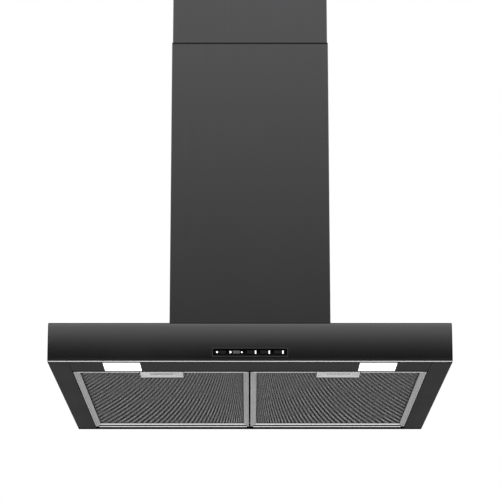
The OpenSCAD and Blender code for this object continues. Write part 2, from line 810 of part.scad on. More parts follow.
// Half-round flap with knuckles on the pin; front flap turned half round makes the rear one
module flap(places) {
    knuckle_r = 3;
    reach = duct_in_r - 1;
    clear = 0.1;
    difference() {
        union() {
            difference() {
                translate([0, 0, flap_z - flap_t / 2]) cylinder(r = reach, h = flap_t);
                block([-reach - 1, reach + 1], [-knuckle_r - 0.4, reach + 1], [flap_z - 9, flap_z + 9]);
            }
            for (x = places) {
                rod_x([x - 7, x + 7], 0, flap_z, knuckle_r);
                block([x - 7, x + 7], [-knuckle_r - 1, -flap_pin_r - 0.6],
                      [flap_z - flap_t / 2, flap_z + flap_t / 2]);
            }
        }
        for (x = places) rod_x([x - 8, x + 8], 0, flap_z, flap_pin_r + clear);
    }
}

module flap_front() {
    color([0.2, 0.2, 0.2]) from_underside() flap([-44, 12]);
}

module flap_rear() {
    color([0.2, 0.2, 0.2]) from_underside() rotate([0, 0, 180]) flap([-44, 12]);
}

// ---------- mains and wiring ----------

module power_box() {
    color([0.2, 0.2, 0.2]) from_underside() difference() {
        block([-power_hx, power_hx], [power_y0, power_y1], [z_blower_top, box_lid_z]);
        block([-power_hx + power_t, power_hx - power_t], [power_y0 + power_t, power_y1 - power_t],
              [z_blower_top + power_t, box_lid_z + 1]);
        rod_x([power_hx - 5, power_hx + 1], power_y, gland_z, gland_r + 0.2);
    }
}

module power_lid() {
    color([0.22, 0.22, 0.22]) from_underside()
        block([-power_hx - 1, power_hx + 1], [power_y0 - 1, power_y1 + 1], [box_lid_z, box_lid_z + power_t]);
}

module terminal_block() {
    pole_pitch = 12;
    pole_hx = 4;
    base_z = z_blower_top + power_t;
    pole_z = base_z + 10;
    color("ivory") from_underside() difference() {
        union() {
            block([-20, 16], [power_y - 8, power_y + 8], [base_z, pole_z]);
            for (i = [-1:1]) translate([i * pole_pitch - 2, power_y, 0])
                centred(pole_hx, 6, [pole_z - e, pole_z + 6]);
        }
        for (i = [-1:1]) translate([i * pole_pitch - 2, power_y, pole_z + 1]) cylinder(r = 2, h = 6);
    }
}

module cable_gland() {
    nut_t = 6;
    cap_l = 9;
    cord_r = 3.6;
    color([0.1, 0.1, 0.1]) from_underside() translate([power_hx, power_y, gland_z]) difference() {
        union() {
            rod_x([-7, 0], 0, 0, gland_r);
            rotate([0, 90, 0]) cylinder(r = gland_r + 4, h = nut_t, $fn = 6);
            rod_x([nut_t - e, nut_t + cap_l], 0, 0, gland_r + 1);
        }
        rod_x([-8, nut_t + cap_l + 1], 0, 0, cord_r);
    }
}

// Looms from the control board to the power box, and from the lamp driver to the first loom
module wiring_loom() {
    wire_r = 1.5;
    z_run = z_top - shell_t - 3;
    y_board = y_front + housing_d;
    y_hole = -box_y + box_flange + 4;
    x_up = box_x - box_t - 18;
    ref = [1, -1, 0.3];
    color([0.12, 0.12, 0.12]) from_underside() {
        sweep([[loom_x, y_board + 0.2, window_z], [loom_x, y_board + 8, window_z + 3],
               [loom_x + 2, y_board + 16, z_run - 8], [loom_x + 6, y_board + 26, z_run],
               [loom_x + 10, y_hole - 30, z_run], [x_up - 20, y_hole - 2, z_run - 1],
               [x_up - 2, y_hole, z_run], [x_up, y_hole + 2, z_base], [x_up, y_hole + 3, z_base + 30]],
              wire_r, 8, ref);
        sweep([[driver_x + 1, driver_y, z_run - 6], [driver_x + 20, driver_y + 4, z_run - 7],
               [driver_x + 70, y_hole - 30, z_run - 5],
               [20, y_hole - 26, z_run - 4], [x_up - 20, y_hole - 6, z_run - 5], [x_up - 6, y_hole, z_run - 4]],
              wire_r, 8, ref);
    }
}

// ---------- controls ----------

function button_x(i) = (i - (n_buttons + 1) / 2) * button_pitch;

module at_front() {
    from_underside() translate([0, y_front, window_z]) children();
}

module button_shape(x, grow, y) {
    block([x - button_w / 2 - grow, x + button_w / 2 + grow], y,
          [-button_h / 2 - grow, button_h / 2 + grow]);
}

module control_window() {
    color([0.02, 0.02, 0.02]) at_front() difference() {
        union() {
            block([-window_w / 2, window_w / 2], [window_set, window_back], [-window_h / 2, window_h / 2]);
            block([-window_w / 2 - 3, window_w / 2 + 3], [fascia_t, window_back],
                  [-window_h / 2 - 2.5, window_h / 2 + 2.5]);
        }
        for (i = [1:n_buttons]) button_shape(button_x(i), button_fit, [-1, window_back + 1]);
    }
}

// Small white pointers beside the buttons: dot, triangle, ring and three bars
module control_marks() {
    mark_t = 0.3;
    gap = button_w / 2 + 3.2;
    color([0.95, 0.95, 0.95]) at_front() translate([0, window_set - mark_t, 0]) {
        rod_y(button_x(1) - gap, [0, mark_t], 0, 1.4);
        translate([button_x(2) - gap, 0, 0]) rotate([-90, 0, 0])
            linear_extrude(mark_t) polygon([[-1.6, -2.2], [-1.6, 2.2], [1.9, 0]]);
        rod_y(button_x(2) + gap, [0, mark_t], 0, 1.2);
        for (i = [3:n_buttons]) translate([button_x(i) + gap, 0, 0])
            block([-1, 1], [0, mark_t], [-2.4, 2.4]);
    }
}

module button(i) {
    x = button_x(i);
    color([0.25, 0.25, 0.25]) at_front() {
        button_shape(x, 0, [-button_proud, window_back + flange_gap + e]);
        button_shape(x, 1, [window_back + flange_gap, window_back + flange_gap + 1]);
        block([x - 1.5, x + 1.5], [window_back + flange_gap + 1 - e, board_set - button_travel - 0.5],
              [-1.5, 1.5]);
    }
}

module control_housing() {
    color([0.15, 0.15, 0.15]) at_front() difference() {
        block([-housing_hx, housing_hx], [window_back, housing_d], [-housing_hz, housing_hz]);
        block([-housing_hx + housing_t, housing_hx - housing_t], [window_back - 1, housing_d - housing_t],
              [-housing_hz + housing_t, housing_hz - housing_t]);
        rod_y(loom_x, [housing_d - 3, housing_d + 1], 0, 2.4);
    }
    color([0.15, 0.15, 0.15]) at_front() for (sx = [-1, 1]) for (sz = [-1, 1])
        translate([sx * (housing_hx - housing_t - 3), 0, sz * (housing_hz - housing_t - 1.5)])
            block([-3.01, 3.01], [board_set + board_t, housing_d - housing_t + e], [-1.51, 1.51]);
}

module control_board() {
    color([0.1, 0.35, 0.15]) at_front() {
        block([-housing_hx + housing_t + 0.3, housing_hx - housing_t - 0.3], [board_set, board_set + board_t],
              [-housing_hz + housing_t + 0.3, housing_hz - housing_t - 0.3]);
        for (i = [1:n_buttons]) block([button_x(i) - 2.5, button_x(i) + 2.5], [board_set - 0.4, board_set + e],
                                      [-2.5, 2.5]);
    }
}

// ---------- the parts ----------

ceiling_bracket();
upper_uprights();
lower_uprights();
frame_base();
frame_bolts();
upper_chimney();
lower_chimney();
chimney_screws();
canopy_shell();
canopy_bolts();
front_fascia();
fascia_trim();
underside_frame();
lamp_panel();
filter_rail();
for (s = SIDES) {
    lamp_lens(s);
    lamp_housing(s);
    led_board(s);
    filter_frame(s);
    filter_mesh(s);
    filter_handle(s);
    filter_latch(s);
    latch_spring(s);
    volute(s);
}
led_driver();
blower_box();
blower_screws();
impeller();
motor();
motor_bracket();
motor_bushes();
capacitor();
outlet_adapter();
flap_pin();
flap_front();
flap_rear();
power_box();
power_lid();
terminal_block();
cable_gland();
wiring_loom();
control_window();
control_marks();
control_housing();
control_board();
for (i = [1:n_buttons]) {
    button(i);
}
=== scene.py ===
"""Looks of the island range hood, laid out as an add-on and run as a script."""
import math

import bmesh
import bpy
from bpy.props import FloatProperty, FloatVectorProperty, IntProperty, PointerProperty
from mathutils import Matrix, Vector


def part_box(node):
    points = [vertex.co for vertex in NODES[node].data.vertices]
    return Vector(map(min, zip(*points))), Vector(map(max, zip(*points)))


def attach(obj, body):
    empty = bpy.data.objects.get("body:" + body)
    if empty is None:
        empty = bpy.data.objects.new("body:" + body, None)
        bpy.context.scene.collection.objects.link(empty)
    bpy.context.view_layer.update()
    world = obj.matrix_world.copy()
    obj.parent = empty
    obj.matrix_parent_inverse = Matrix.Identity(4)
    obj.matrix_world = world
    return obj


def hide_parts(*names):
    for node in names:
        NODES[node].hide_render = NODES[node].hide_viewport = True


bl_info = {
    "name": "Island Range Hood",
    "version": (1, 0, 0),
    "blender": (4, 5, 0),
    "location": "View3D > Sidebar > Range Hood",
    "description": "Builds the visible pieces of an island range hood around its frame",
    "category": "Object",
}

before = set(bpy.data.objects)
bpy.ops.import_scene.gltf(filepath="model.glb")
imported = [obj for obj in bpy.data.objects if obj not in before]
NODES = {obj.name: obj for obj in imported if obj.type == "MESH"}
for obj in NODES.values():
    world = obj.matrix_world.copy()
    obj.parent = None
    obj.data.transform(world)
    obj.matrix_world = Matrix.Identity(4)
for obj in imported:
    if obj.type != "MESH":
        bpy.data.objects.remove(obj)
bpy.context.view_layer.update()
SIDES = ("left", "right")
MM = 0.001


# ---------- settings ----------

class StageSettings(bpy.types.PropertyGroup):
    """Camera and floor round the hood"""

    camera_back: FloatProperty(
        name="Camera distance", description="From the front panel to the camera", default=3.089,
        unit="LENGTH")
    camera_drop: FloatProperty(
        name="Camera drop", description="From the underside down to the camera", default=0.617, unit="LENGTH")
    camera_pitch: FloatProperty(
        name="Camera pitch", description="Upward tilt of the camera", default=math.radians(14.291),
        subtype="ANGLE")
    lens: FloatProperty(name="Lens", description="Focal length in millimetres", default=153.7)
    floor_drop: FloatProperty(
        name="Floor", description="From the underside down to the floor", default=1.6, unit="LENGTH")
    floor_radius: FloatProperty(
        name="Floor radius", description="Radius of the round floor", default=2.6, unit="LENGTH")


class SheetSettings(bpy.types.PropertyGroup):
    """Folded sheet pieces: chimney, canopy and front panel"""

    edge: FloatProperty(
        name="Edge radius", description="Rounding of folded edges", default=0.5 * MM, unit="LENGTH")
    chimney_fold: FloatProperty(
        name="Chimney fold", description="Radius of the chimney's corners", default=1.6 * MM, unit="LENGTH")
    crown: FloatProperty(
        name="Panel crown", description="How far the front panel bulges at its middle", default=1.1 * MM,
        unit="LENGTH")
    black: FloatVectorProperty(
        name="Black steel", description="Colour of the coated steel", default=(0.105, 0.105, 0.108),
        subtype="COLOR", size=3, min=0, max=1)


class FilterSettings(bpy.types.PropertyGroup):
    """Woven mesh of the grease filters"""

    pitch: FloatProperty(
        name="Mesh pitch", description="Distance between wires", default=3.0 * MM, unit="LENGTH")
    wire: FloatProperty(name="Wire radius", description="Radius of a wire", default=0.26 * MM, unit="LENGTH")
    foil_folds: IntProperty(name="Foil folds", description="Folds of the foil behind the mesh", default=60)


# ---------- mesh helpers ----------

def link(name, mesh):
    piece = bpy.data.objects.new(name, mesh)
    bpy.context.scene.collection.objects.link(piece)
    return piece


def finish_piece(piece, material, body, slot, *stands_for, sharp=20):
    """Shades a finished mesh, gives it its material and puts it on its body."""
    piece.data.materials.clear()
    piece.data.materials.append(material)
    piece.data.shade_smooth()
    piece.data.set_sharp_from_angle(angle=math.radians(sharp))
    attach(piece, body)
    if stands_for:
        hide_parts(*stands_for)
    return piece


def bake_modifiers(piece):
    """Turns the evaluated object into a plain mesh and drops its modifiers."""
    bpy.context.view_layer.update()
    graph = bpy.context.evaluated_depsgraph_get()
    mesh = bpy.data.meshes.new_from_object(
        piece.evaluated_get(graph), preserve_all_data_layers=False, depsgraph=graph)
    piece.modifiers.clear()
    piece.data = mesh
    mesh.name = piece.name
    return piece


def bevel(piece, width, segments=2):
    mod = piece.modifiers.new("edges", "BEVEL")
    mod.width = width
    mod.segments = segments
    mod.limit_method = "ANGLE"
    mod.angle_limit = math.radians(30)
    mod.use_clamp_overlap = True
    return bake_modifiers(piece)


def copy_node(node, name):
    """A merged copy of a CAD node's mesh, with its flat faces joined up."""
    bm = bmesh.new()
    bm.from_mesh(NODES[node].data)
    bmesh.ops.remove_doubles(bm, verts=bm.verts, dist=1e-6)
    bmesh.ops.dissolve_limit(bm, angle_limit=math.radians(0.4), verts=bm.verts, edges=bm.edges)
    mesh = bpy.data.meshes.new(name)
    bm.to_mesh(mesh)
    bm.free()
    return link(name, mesh)


def refine(node, name, width, material, body, slot):
    """A CAD node's shape with its edges rounded, standing for the node."""
    piece = copy_node(node, name)
    if width:
        bevel(piece, width)
    return finish_piece(piece, material, body, slot, node)


def mesh_piece(name, verts, faces):
    mesh = bpy.data.meshes.new(name)
    mesh.from_pydata([tuple(v) for v in verts], [], faces)
    bm = bmesh.new()
    bm.from_mesh(mesh)
    bmesh.ops.recalc_face_normals(bm, faces=bm.faces)
    bm.to_mesh(mesh)
    bm.free()
    return link(name, mesh)


def box_piece(name, lo, hi, material, body, slot, width=0.1 * MM):
    """A plain block with eased edges between two corners."""
    (x0, y0, z0), (x1, y1, z1) = lo, hi
    verts = [(x, y, z) for x in (x0, x1) for y in (y0, y1) for z in (z0, z1)]
    faces = [(0, 1, 3, 2), (4, 6, 7, 5), (0, 4, 5, 1), (2, 3, 7, 6), (0, 2, 6, 4), (1, 5, 7, 3)]
    piece = bevel(mesh_piece(name, verts, faces), width, 1)
    return finish_piece(piece, material, body, slot)


def shade_block(name, lo, hi, body="frame", width=0.1 * MM):
    """A plain black block of painted shade, set in a gap or recess where only shade falls."""
    return box_piece(name, lo, hi, seal_black(), body, "rubber_bush", width)


def cut(piece, lo, hi):
    """Cuts a box from lo to hi out of a piece."""
    centre = (Vector(lo) + Vector(hi)) / 2
    size = Vector(hi) - Vector(lo)
    bm = bmesh.new()
    bmesh.ops.create_cube(bm, size=1, matrix=Matrix.Translation(centre) @ Matrix.Diagonal((*size, 1)))
    mesh = bpy.data.meshes.new("cutter")
    bm.to_mesh(mesh)
    bm.free()
    cutter = link("cutter", mesh)
    mod = piece.modifiers.new("cut", "BOOLEAN")
    mod.operation = "DIFFERENCE"
    mod.solver = "EXACT"
    mod.object = cutter
    bake_modifiers(piece)
    bpy.data.objects.remove(cutter)
    return piece


def rounded_outline(hx, hy, radius, steps=4):
    """Points of a rounded rectangle, anticlockwise."""
    corners = ((hx, hy, 0), (-hx, hy, 90), (-hx, -hy, 180), (hx, -hy, 270))
    points = []
    for cx, cy, start in corners:
        mx = cx - math.copysign(radius, cx)
        my = cy - math.copysign(radius, cy)
        for k in range(steps + 1):
            a = math.radians(start + 90 * k / steps)
            points.append((mx + radius * math.cos(a), my + radius * math.sin(a)))
    return points


def tube_piece(name, outer, inner, z0, z1, lip):
    """A closed tube wall between two outlines of equal length, with its rims eased by lip."""
    count = len(outer)
    levels = ((outer, z0 + lip), (outer, z1 - lip), (None, z1),
              (inner, z1 - lip), (inner, z0 + lip), (None, z0))
    verts = []
    for outline, z in levels:
        for i in range(count):
            if outline is None:
                x = (outer[i][0] + inner[i][0]) / 2
                y = (outer[i][1] + inner[i][1]) / 2
            else:
                x, y = outline[i]
            verts.append((x, y, z))
    rings = len(levels)
    faces = []
    for r in range(rings):
        for i in range(count):
            a = r * count + i
            b = r * count + (i + 1) % count
            c = ((r + 1) % rings) * count + (i + 1) % count
            d = ((r + 1) % rings) * count + i
            faces.append((a, b, c, d))
    return mesh_piece(name, verts, faces)


# ---------- geometry node trees ----------

def new_tree(name, inputs):
    """A geometry tree with named inputs and one geometry output."""
    tree = bpy.data.node_groups.new(name, "GeometryNodeTree")
    tree.interface.new_socket("Geometry", in_out="OUTPUT", socket_type="NodeSocketGeometry")
    for label, kind, value in inputs:
        socket = tree.interface.new_socket(label, in_out="INPUT", socket_type=kind)
        if value is not None:
            socket.default_value = value
    return tree, tree.nodes.new("NodeGroupInput"), tree.nodes.new("NodeGroupOutput")


def wire(tree, source, target):
    tree.links.new(source, target)


def math_node(tree, operation, a, b=None):
    node = tree.nodes.new("ShaderNodeMath")
    node.operation = operation
    for slot, value in enumerate((a, b)):
        if value is None:
            continue
        if isinstance(value, (int, float)):
            node.inputs[slot].default_value = value
        else:
            wire(tree, value, node.inputs[slot])
    return node.outputs[0]


def vector_node(tree, x=0.0, y=0.0, z=0.0):
    node = tree.nodes.new("ShaderNodeCombineXYZ")
    for slot, value in enumerate((x, y, z)):
        if isinstance(value, (int, float)):
            node.inputs[slot].default_value = value
        else:
            wire(tree, value, node.inputs[slot])
    return node.outputs[0]


def wires_one_way(tree, given, along, across, length, span, sign):
    """Parallel zigzag wires: along and across pick the axis of each direction."""
    pitch = given.outputs["Pitch"]
    count = math_node(tree, "CEIL", math_node(tree, "DIVIDE", length, pitch))
    rows = math_node(tree, "FLOOR", math_node(tree, "DIVIDE", span, pitch))
    step = {along: pitch}
    line = tree.nodes.new("GeometryNodeMeshLine")
    line.mode = "OFFSET"
    wire(tree, count, line.inputs["Count"])
    wire(tree, vector_node(tree, **step), line.inputs["Offset"])
    index = tree.nodes.new("GeometryNodeInputIndex").outputs[0]
    odd = math_node(tree, "MODULO", index, 2)
    swing = math_node(tree, "MULTIPLY", math_node(tree, "SUBTRACT", 1, math_node(tree, "MULTIPLY", odd, 2)),
                      math_node(tree, "MULTIPLY", given.outputs["Wire Radius"], 1.04 * sign))
    wave = tree.nodes.new("GeometryNodeSetPosition")
    wire(tree, line.outputs[0], wave.inputs["Geometry"])
    wire(tree, vector_node(tree, z=swing), wave.inputs["Offset"])
    starts = tree.nodes.new("GeometryNodeMeshLine")
    starts.mode = "OFFSET"
    wire(tree, rows, starts.inputs["Count"])
    wire(tree, vector_node(tree, **{across: pitch}), starts.inputs["Offset"])
    stagger = tree.nodes.new("GeometryNodeSetPosition")
    wire(tree, starts.outputs[0], stagger.inputs["Geometry"])
    shift = math_node(tree, "MULTIPLY", odd, pitch)
    wire(tree, vector_node(tree, **{along: shift}), stagger.inputs["Offset"])
    place = tree.nodes.new("GeometryNodeInstanceOnPoints")
    wire(tree, stagger.outputs[0], place.inputs["Points"])
    wire(tree, wave.outputs[0], place.inputs["Instance"])
    real = tree.nodes.new("GeometryNodeRealizeInstances")
    wire(tree, place.outputs[0], real.inputs[0])
    return real.outputs[0]


def inside_box(tree, given):
    """True where a point lies in the rectangle given for the handle."""
    split = tree.nodes.new("ShaderNodeSeparateXYZ")
    wire(tree, tree.nodes.new("GeometryNodeInputPosition").outputs[0], split.inputs[0])
    low = tree.nodes.new("ShaderNodeSeparateXYZ")
    high = tree.nodes.new("ShaderNodeSeparateXYZ")
    wire(tree, given.outputs["Gap Low"], low.inputs[0])
    wire(tree, given.outputs["Gap High"], high.inputs[0])
    tests = []
    for axis in (0, 1):
        tests.append(math_node(tree, "GREATER_THAN", split.outputs[axis], low.outputs[axis]))
        tests.append(math_node(tree, "LESS_THAN", split.outputs[axis], high.outputs[axis]))
    both = math_node(tree, "MULTIPLY", tests[0], tests[1])
    return math_node(tree, "MULTIPLY", math_node(tree, "MULTIPLY", both, tests[2]), tests[3])


def weave_tree():
    """Plain weave of round wires over a rectangle, open round the handle."""
    tree, given, out = new_tree("woven_mesh", (
        ("Width", "NodeSocketFloat", 0.25),
        ("Depth", "NodeSocketFloat", 0.48),
        ("Pitch", "NodeSocketFloat", 3 * MM),
        ("Wire Radius", "NodeSocketFloat", 0.36 * MM),
        ("Corner", "NodeSocketVector", None),
        ("Gap Low", "NodeSocketVector", None),
        ("Gap High", "NodeSocketVector", None),
        ("Material", "NodeSocketMaterial", None),
    ))
    join = tree.nodes.new("GeometryNodeJoinGeometry")
    wire(tree, wires_one_way(tree, given, "y", "x", given.outputs["Depth"], given.outputs["Width"], 1),
         join.inputs[0])
    wire(tree, wires_one_way(tree, given, "x", "y", given.outputs["Width"], given.outputs["Depth"], -1),
         join.inputs[0])
    move = tree.nodes.new("GeometryNodeTransform")
    wire(tree, join.outputs[0], move.inputs["Geometry"])
    wire(tree, given.outputs["Corner"], move.inputs["Translation"])
    trim = tree.nodes.new("GeometryNodeDeleteGeometry")
    trim.domain = "POINT"
    wire(tree, move.outputs[0], trim.inputs["Geometry"])
    wire(tree, inside_box(tree, given), trim.inputs["Selection"])
    line = tree.nodes.new("GeometryNodeMeshToCurve")
    wire(tree, trim.outputs[0], line.inputs["Mesh"])
    circle = tree.nodes.new("GeometryNodeCurvePrimitiveCircle")
    circle.inputs["Resolution"].default_value = 3
    wire(tree, given.outputs["Wire Radius"], circle.inputs["Radius"])
    sweep = tree.nodes.new("GeometryNodeCurveToMesh")
    sweep.inputs["Fill Caps"].default_value = True
    wire(tree, line.outputs[0], sweep.inputs["Curve"])
    wire(tree, circle.outputs[0], sweep.inputs["Profile Curve"])
    return close_tree(tree, given, out, sweep.outputs[0])


def close_tree(tree, given, out, geometry):
    """Ends a tree in Realize Instances and Set Material."""
    real = tree.nodes.new("GeometryNodeRealizeInstances")
    wire(tree, geometry, real.inputs[0])
    paint = tree.nodes.new("GeometryNodeSetMaterial")
    wire(tree, real.outputs[0], paint.inputs["Geometry"])
    wire(tree, given.outputs["Material"], paint.inputs["Material"])
    wire(tree, paint.outputs[0], out.inputs[0])
    return tree


def heads_tree():
    """One head on each point of the piece, turned to the point's own axis."""
    tree, given, out = new_tree("fastener_heads", (
        ("Points", "NodeSocketGeometry", None),
        ("Head", "NodeSocketObject", None),
        ("Material", "NodeSocketMaterial", None),
    ))
    head = tree.nodes.new("GeometryNodeObjectInfo")
    wire(tree, given.outputs["Head"], head.inputs["Object"])
    axis = tree.nodes.new("GeometryNodeInputNamedAttribute")
    axis.data_type = "FLOAT_VECTOR"
    axis.inputs["Name"].default_value = "axis"
    aim = tree.nodes.new("FunctionNodeAlignRotationToVector")
    aim.axis = "Z"
    wire(tree, axis.outputs["Attribute"], aim.inputs["Vector"])
    place = tree.nodes.new("GeometryNodeInstanceOnPoints")
    wire(tree, given.outputs["Points"], place.inputs["Points"])
    wire(tree, head.outputs["Geometry"], place.inputs["Instance"])
    wire(tree, aim.outputs[0], place.inputs["Rotation"])
    return close_tree(tree, given, out, place.outputs[0])


def set_inputs(piece, tree, values):
    """Adds a nodes modifier and sets its inputs by their identifiers."""
    mod = piece.modifiers.new(tree.name, "NODES")
    mod.node_group = tree
    for item in tree.interface.items_tree:
        if item.in_out == "INPUT" and item.name in values:
            mod[item.identifier] = values[item.name]
    return bake_modifiers(piece)


def screw_head(radius, height, recess):
    """A domed head with a dished middle, its seat at the origin."""
    bm = bmesh.new()
    rings = 4
    sides = 20
    turns = [2 * math.pi * k / sides for k in range(sides)]
    loops = []
    for r in range(rings):
        a = math.pi / 2 * r / rings
        reach = radius * math.cos(a)
        rise = height * math.sin(a)
        loops.append([bm.verts.new((reach * math.cos(t), reach * math.sin(t), rise)) for t in turns])
    top = bm.verts.new((0, 0, height - recess))
    for low, high in zip(loops, loops[1:]):
        for k in range(sides):
            bm.faces.new((low[k], low[(k + 1) % sides], high[(k + 1) % sides], high[k]))
    for k in range(sides):
        bm.faces.new((loops[-1][k], loops[-1][(k + 1) % sides], top))
    bm.faces.new(list(reversed(loops[0])))
    bmesh.ops.recalc_face_normals(bm, faces=bm.faces)
    mesh = bpy.data.meshes.new("screw_head")
    bm.to_mesh(mesh)
    bm.free()
    mesh.shade_smooth()
    return link("screw_head_pattern", mesh)


def heads_piece(name, places, radius, height, material, body, slot, *stands_for):
    """Fastener heads at places, each a point and the direction it faces."""
    mesh = bpy.data.meshes.new(name)
    mesh.from_pydata([tuple(p) for p, _ in places], [], [])
    attribute = mesh.attributes.new("axis", "FLOAT_VECTOR", "POINT")
    for k, (_, direction) in enumerate(places):
        attribute.data[k].vector = direction
    piece = link(name, mesh)
    pattern = screw_head(radius, height, height * 0.45)
    tree = bpy.data.node_groups.get("fastener_heads") or heads_tree()
    set_inputs(piece, tree, {"Head": pattern, "Material": material})
    bpy.data.objects.remove(pattern)
    return finish_piece(piece, material, body, slot, *stands_for, sharp=35)


# ---------- shader groups ----------

def shader_group(name, inputs, outputs):
    """A shader node group with float inputs and the outputs named."""
    tree = bpy.data.node_groups.new(name, "ShaderNodeTree")
    for label, value in inputs:
        kind = "NodeSocketVector" if isinstance(value, tuple) else "NodeSocketFloat"
        socket = tree.interface.new_socket(label, in_out="INPUT", socket_type=kind)
        socket.default_value = value
    for label in outputs:
        tree.interface.new_socket(label, in_out="OUTPUT", socket_type="NodeSocketFloat")
    return tree, tree.nodes.new("NodeGroupInput"), tree.nodes.new("NodeGroupOutput")


def grain_group():
    """Drawn grain: noise on object coordinates stretched along the grain."""
    tree, given, out = shader_group("drawn_grain", (("Stretch", (900.0, 900.0, 12.0)),), ("Tone", "Height"))
    place = tree.nodes.new("ShaderNodeTexCoord")
    scale = tree.nodes.new("ShaderNodeVectorMath")
    scale.operation = "MULTIPLY"
    wire(tree, place.outputs["Object"], scale.inputs[0])
    wire(tree, given.outputs["Stretch"], scale.inputs[1])
    fine = tree.nodes.new("ShaderNodeTexNoise")
    fine.inputs["Scale"].default_value = 1.0
    fine.inputs["Detail"].default_value = 3.0
    wire(tree, scale.outputs[0], fine.inputs["Vector"])
    wire(tree, fine.outputs["Fac"], out.inputs["Height"])
    wire(tree, math_node(tree, "SUBTRACT", fine.outputs["Fac"], 0.5), out.inputs["Tone"])
    return tree


def wear_group():
    """Soft smudges and fine specks; the smudges set the roughness."""
    tree, given, out = shader_group(
        "handling_wear", (("Smudge Scale", 9.0), ("Speck Scale", 900.0)), ("Smudge", "Speck"))
    place = tree.nodes.new("ShaderNodeTexCoord")
    for label, detail in (("Smudge", 4.0), ("Speck", 1.0)):
        noise = tree.nodes.new("ShaderNodeTexNoise")
        noise.inputs["Detail"].default_value = detail
        wire(tree, place.outputs["Object"], noise.inputs["Vector"])
        wire(tree, given.outputs[label + " Scale"], noise.inputs["Scale"])
        wire(tree, math_node(tree, "SUBTRACT", noise.outputs["Fac"], 0.5), out.inputs[label])
    return tree


def spangle_group():
    """Crystal pattern of zinc plating."""
    tree, given, out = shader_group("zinc_spangle", (("Scale", 90.0), ("Amount", 1.0)), ("Tone",))
    place = tree.nodes.new("ShaderNodeTexCoord")
    cells = tree.nodes.new("ShaderNodeTexVoronoi")
    wire(tree, place.outputs["Object"], cells.inputs["Vector"])
    wire(tree, given.outputs["Scale"], cells.inputs["Scale"])
    split = tree.nodes.new("ShaderNodeSeparateColor")
    wire(tree, cells.outputs["Color"], split.inputs[0])
    level = math_node(tree, "SUBTRACT", split.outputs[0], 0.5)
    wire(tree, math_node(tree, "MULTIPLY", level, given.outputs["Amount"]), out.inputs["Tone"])
    return tree


def object_axes(tree):
    """Object coordinates split into X, Y and Z."""
    place = tree.nodes.new("ShaderNodeTexCoord")
    split = tree.nodes.new("ShaderNodeSeparateXYZ")
    wire(tree, place.outputs["Object"], split.inputs[0])
    return split.outputs


def zones_group():
    """Painted highlight on the outer rim and the rear wall, and painted shade on the inner walls of a
    filter's bars.
    """
    places = (("Rim Top", 0.0), ("Wall Foot", 0.0), ("Rear", 0.0))
    tree, given, out = shader_group("bar_zones", places, ("Tone",))
    wall_shade = 0.42
    rim_light = 0.16
    _, y, z = object_axes(tree)
    rim = math_node(tree, "LESS_THAN", z, given.outputs["Rim Top"])
    wall = math_node(tree, "GREATER_THAN", z, given.outputs["Wall Foot"])
    ahead = math_node(tree, "LESS_THAN", y, given.outputs["Rear"])
    behind = math_node(tree, "SUBTRACT", 1.0, ahead)
    dark = math_node(tree, "MULTIPLY", math_node(tree, "MULTIPLY", wall, ahead), wall_shade)
    lit = math_node(tree, "MAXIMUM", rim, math_node(tree, "MULTIPLY", wall, behind))
    light = math_node(tree, "MULTIPLY", lit, rim_light)
    wire(tree, math_node(tree, "SUBTRACT", light, dark), out.inputs["Tone"])
    return tree


def arcs_group():
    """Sweeping arcs where the layers of the mesh pack cross, fanning out to the rear corners."""
    tree, given, out = shader_group(
        "crossed_arcs", (("Front", -0.3), ("Fan", 0.75), ("Density", 811.0), ("Drift", 1.4)), ("Tone",))
    arc_strength = 1.5
    patch_strength = 1.6
    grit_strength = 0.8
    x, y, _ = object_axes(tree)
    depth = math_node(tree, "SUBTRACT", y, given.outputs["Front"])
    fall = math_node(tree, "MULTIPLY", math_node(tree, "MULTIPLY", depth, -1.0), given.outputs["Fan"])
    spread = math_node(tree, "EXPONENT", fall)
    root = math_node(tree, "SQRT", math_node(tree, "ABSOLUTE", x))
    line = math_node(tree, "MULTIPLY", math_node(tree, "MULTIPLY", root, spread), given.outputs["Density"])
    noise = tree.nodes.new("ShaderNodeTexNoise")
    noise.inputs["Scale"].default_value = 22.0
    noise.inputs["Detail"].default_value = 2.0
    place = tree.nodes.new("ShaderNodeTexCoord")
    wire(tree, place.outputs["Object"], noise.inputs["Vector"])
    shift = math_node(tree, "MULTIPLY", noise.outputs["Fac"], given.outputs["Drift"])
    arcs = math_node(tree, "SINE", math_node(tree, "ADD", line, shift))
    cloud = math_node(tree, "SUBTRACT", noise.outputs["Fac"], 0.2)
    patches = math_node(tree, "MULTIPLY", cloud, patch_strength)
    grow = math_node(tree, "ADD", math_node(tree, "MULTIPLY", depth, 1.1), 0.25)
    strength = math_node(tree, "MULTIPLY", patches, grow)
    speck = tree.nodes.new("ShaderNodeTexNoise")
    speck.inputs["Scale"].default_value = 420.0
    wire(tree, place.outputs["Object"], speck.inputs["Vector"])
    grit = math_node(tree, "MULTIPLY", math_node(tree, "SUBTRACT", speck.outputs["Fac"], 0.5), grit_strength)
    wave = math_node(tree, "MULTIPLY", math_node(tree, "MULTIPLY", arcs, strength), arc_strength)
    wire(tree, math_node(tree, "ADD", wave, grit), out.inputs["Tone"])
    return tree


GROUPS = {"drawn_grain": grain_group, "handling_wear": wear_group, "zinc_spangle": spangle_group,
          "bar_zones": zones_group, "crossed_arcs": arcs_group}


def group_node(tree, name, **values):
    node = tree.nodes.new("ShaderNodeGroup")
    node.node_tree = bpy.data.node_groups.get(name) or GROUPS[name]()
    for label, value in values.items():
        node.inputs[label.replace("_", " ")].default_value = value
    return node


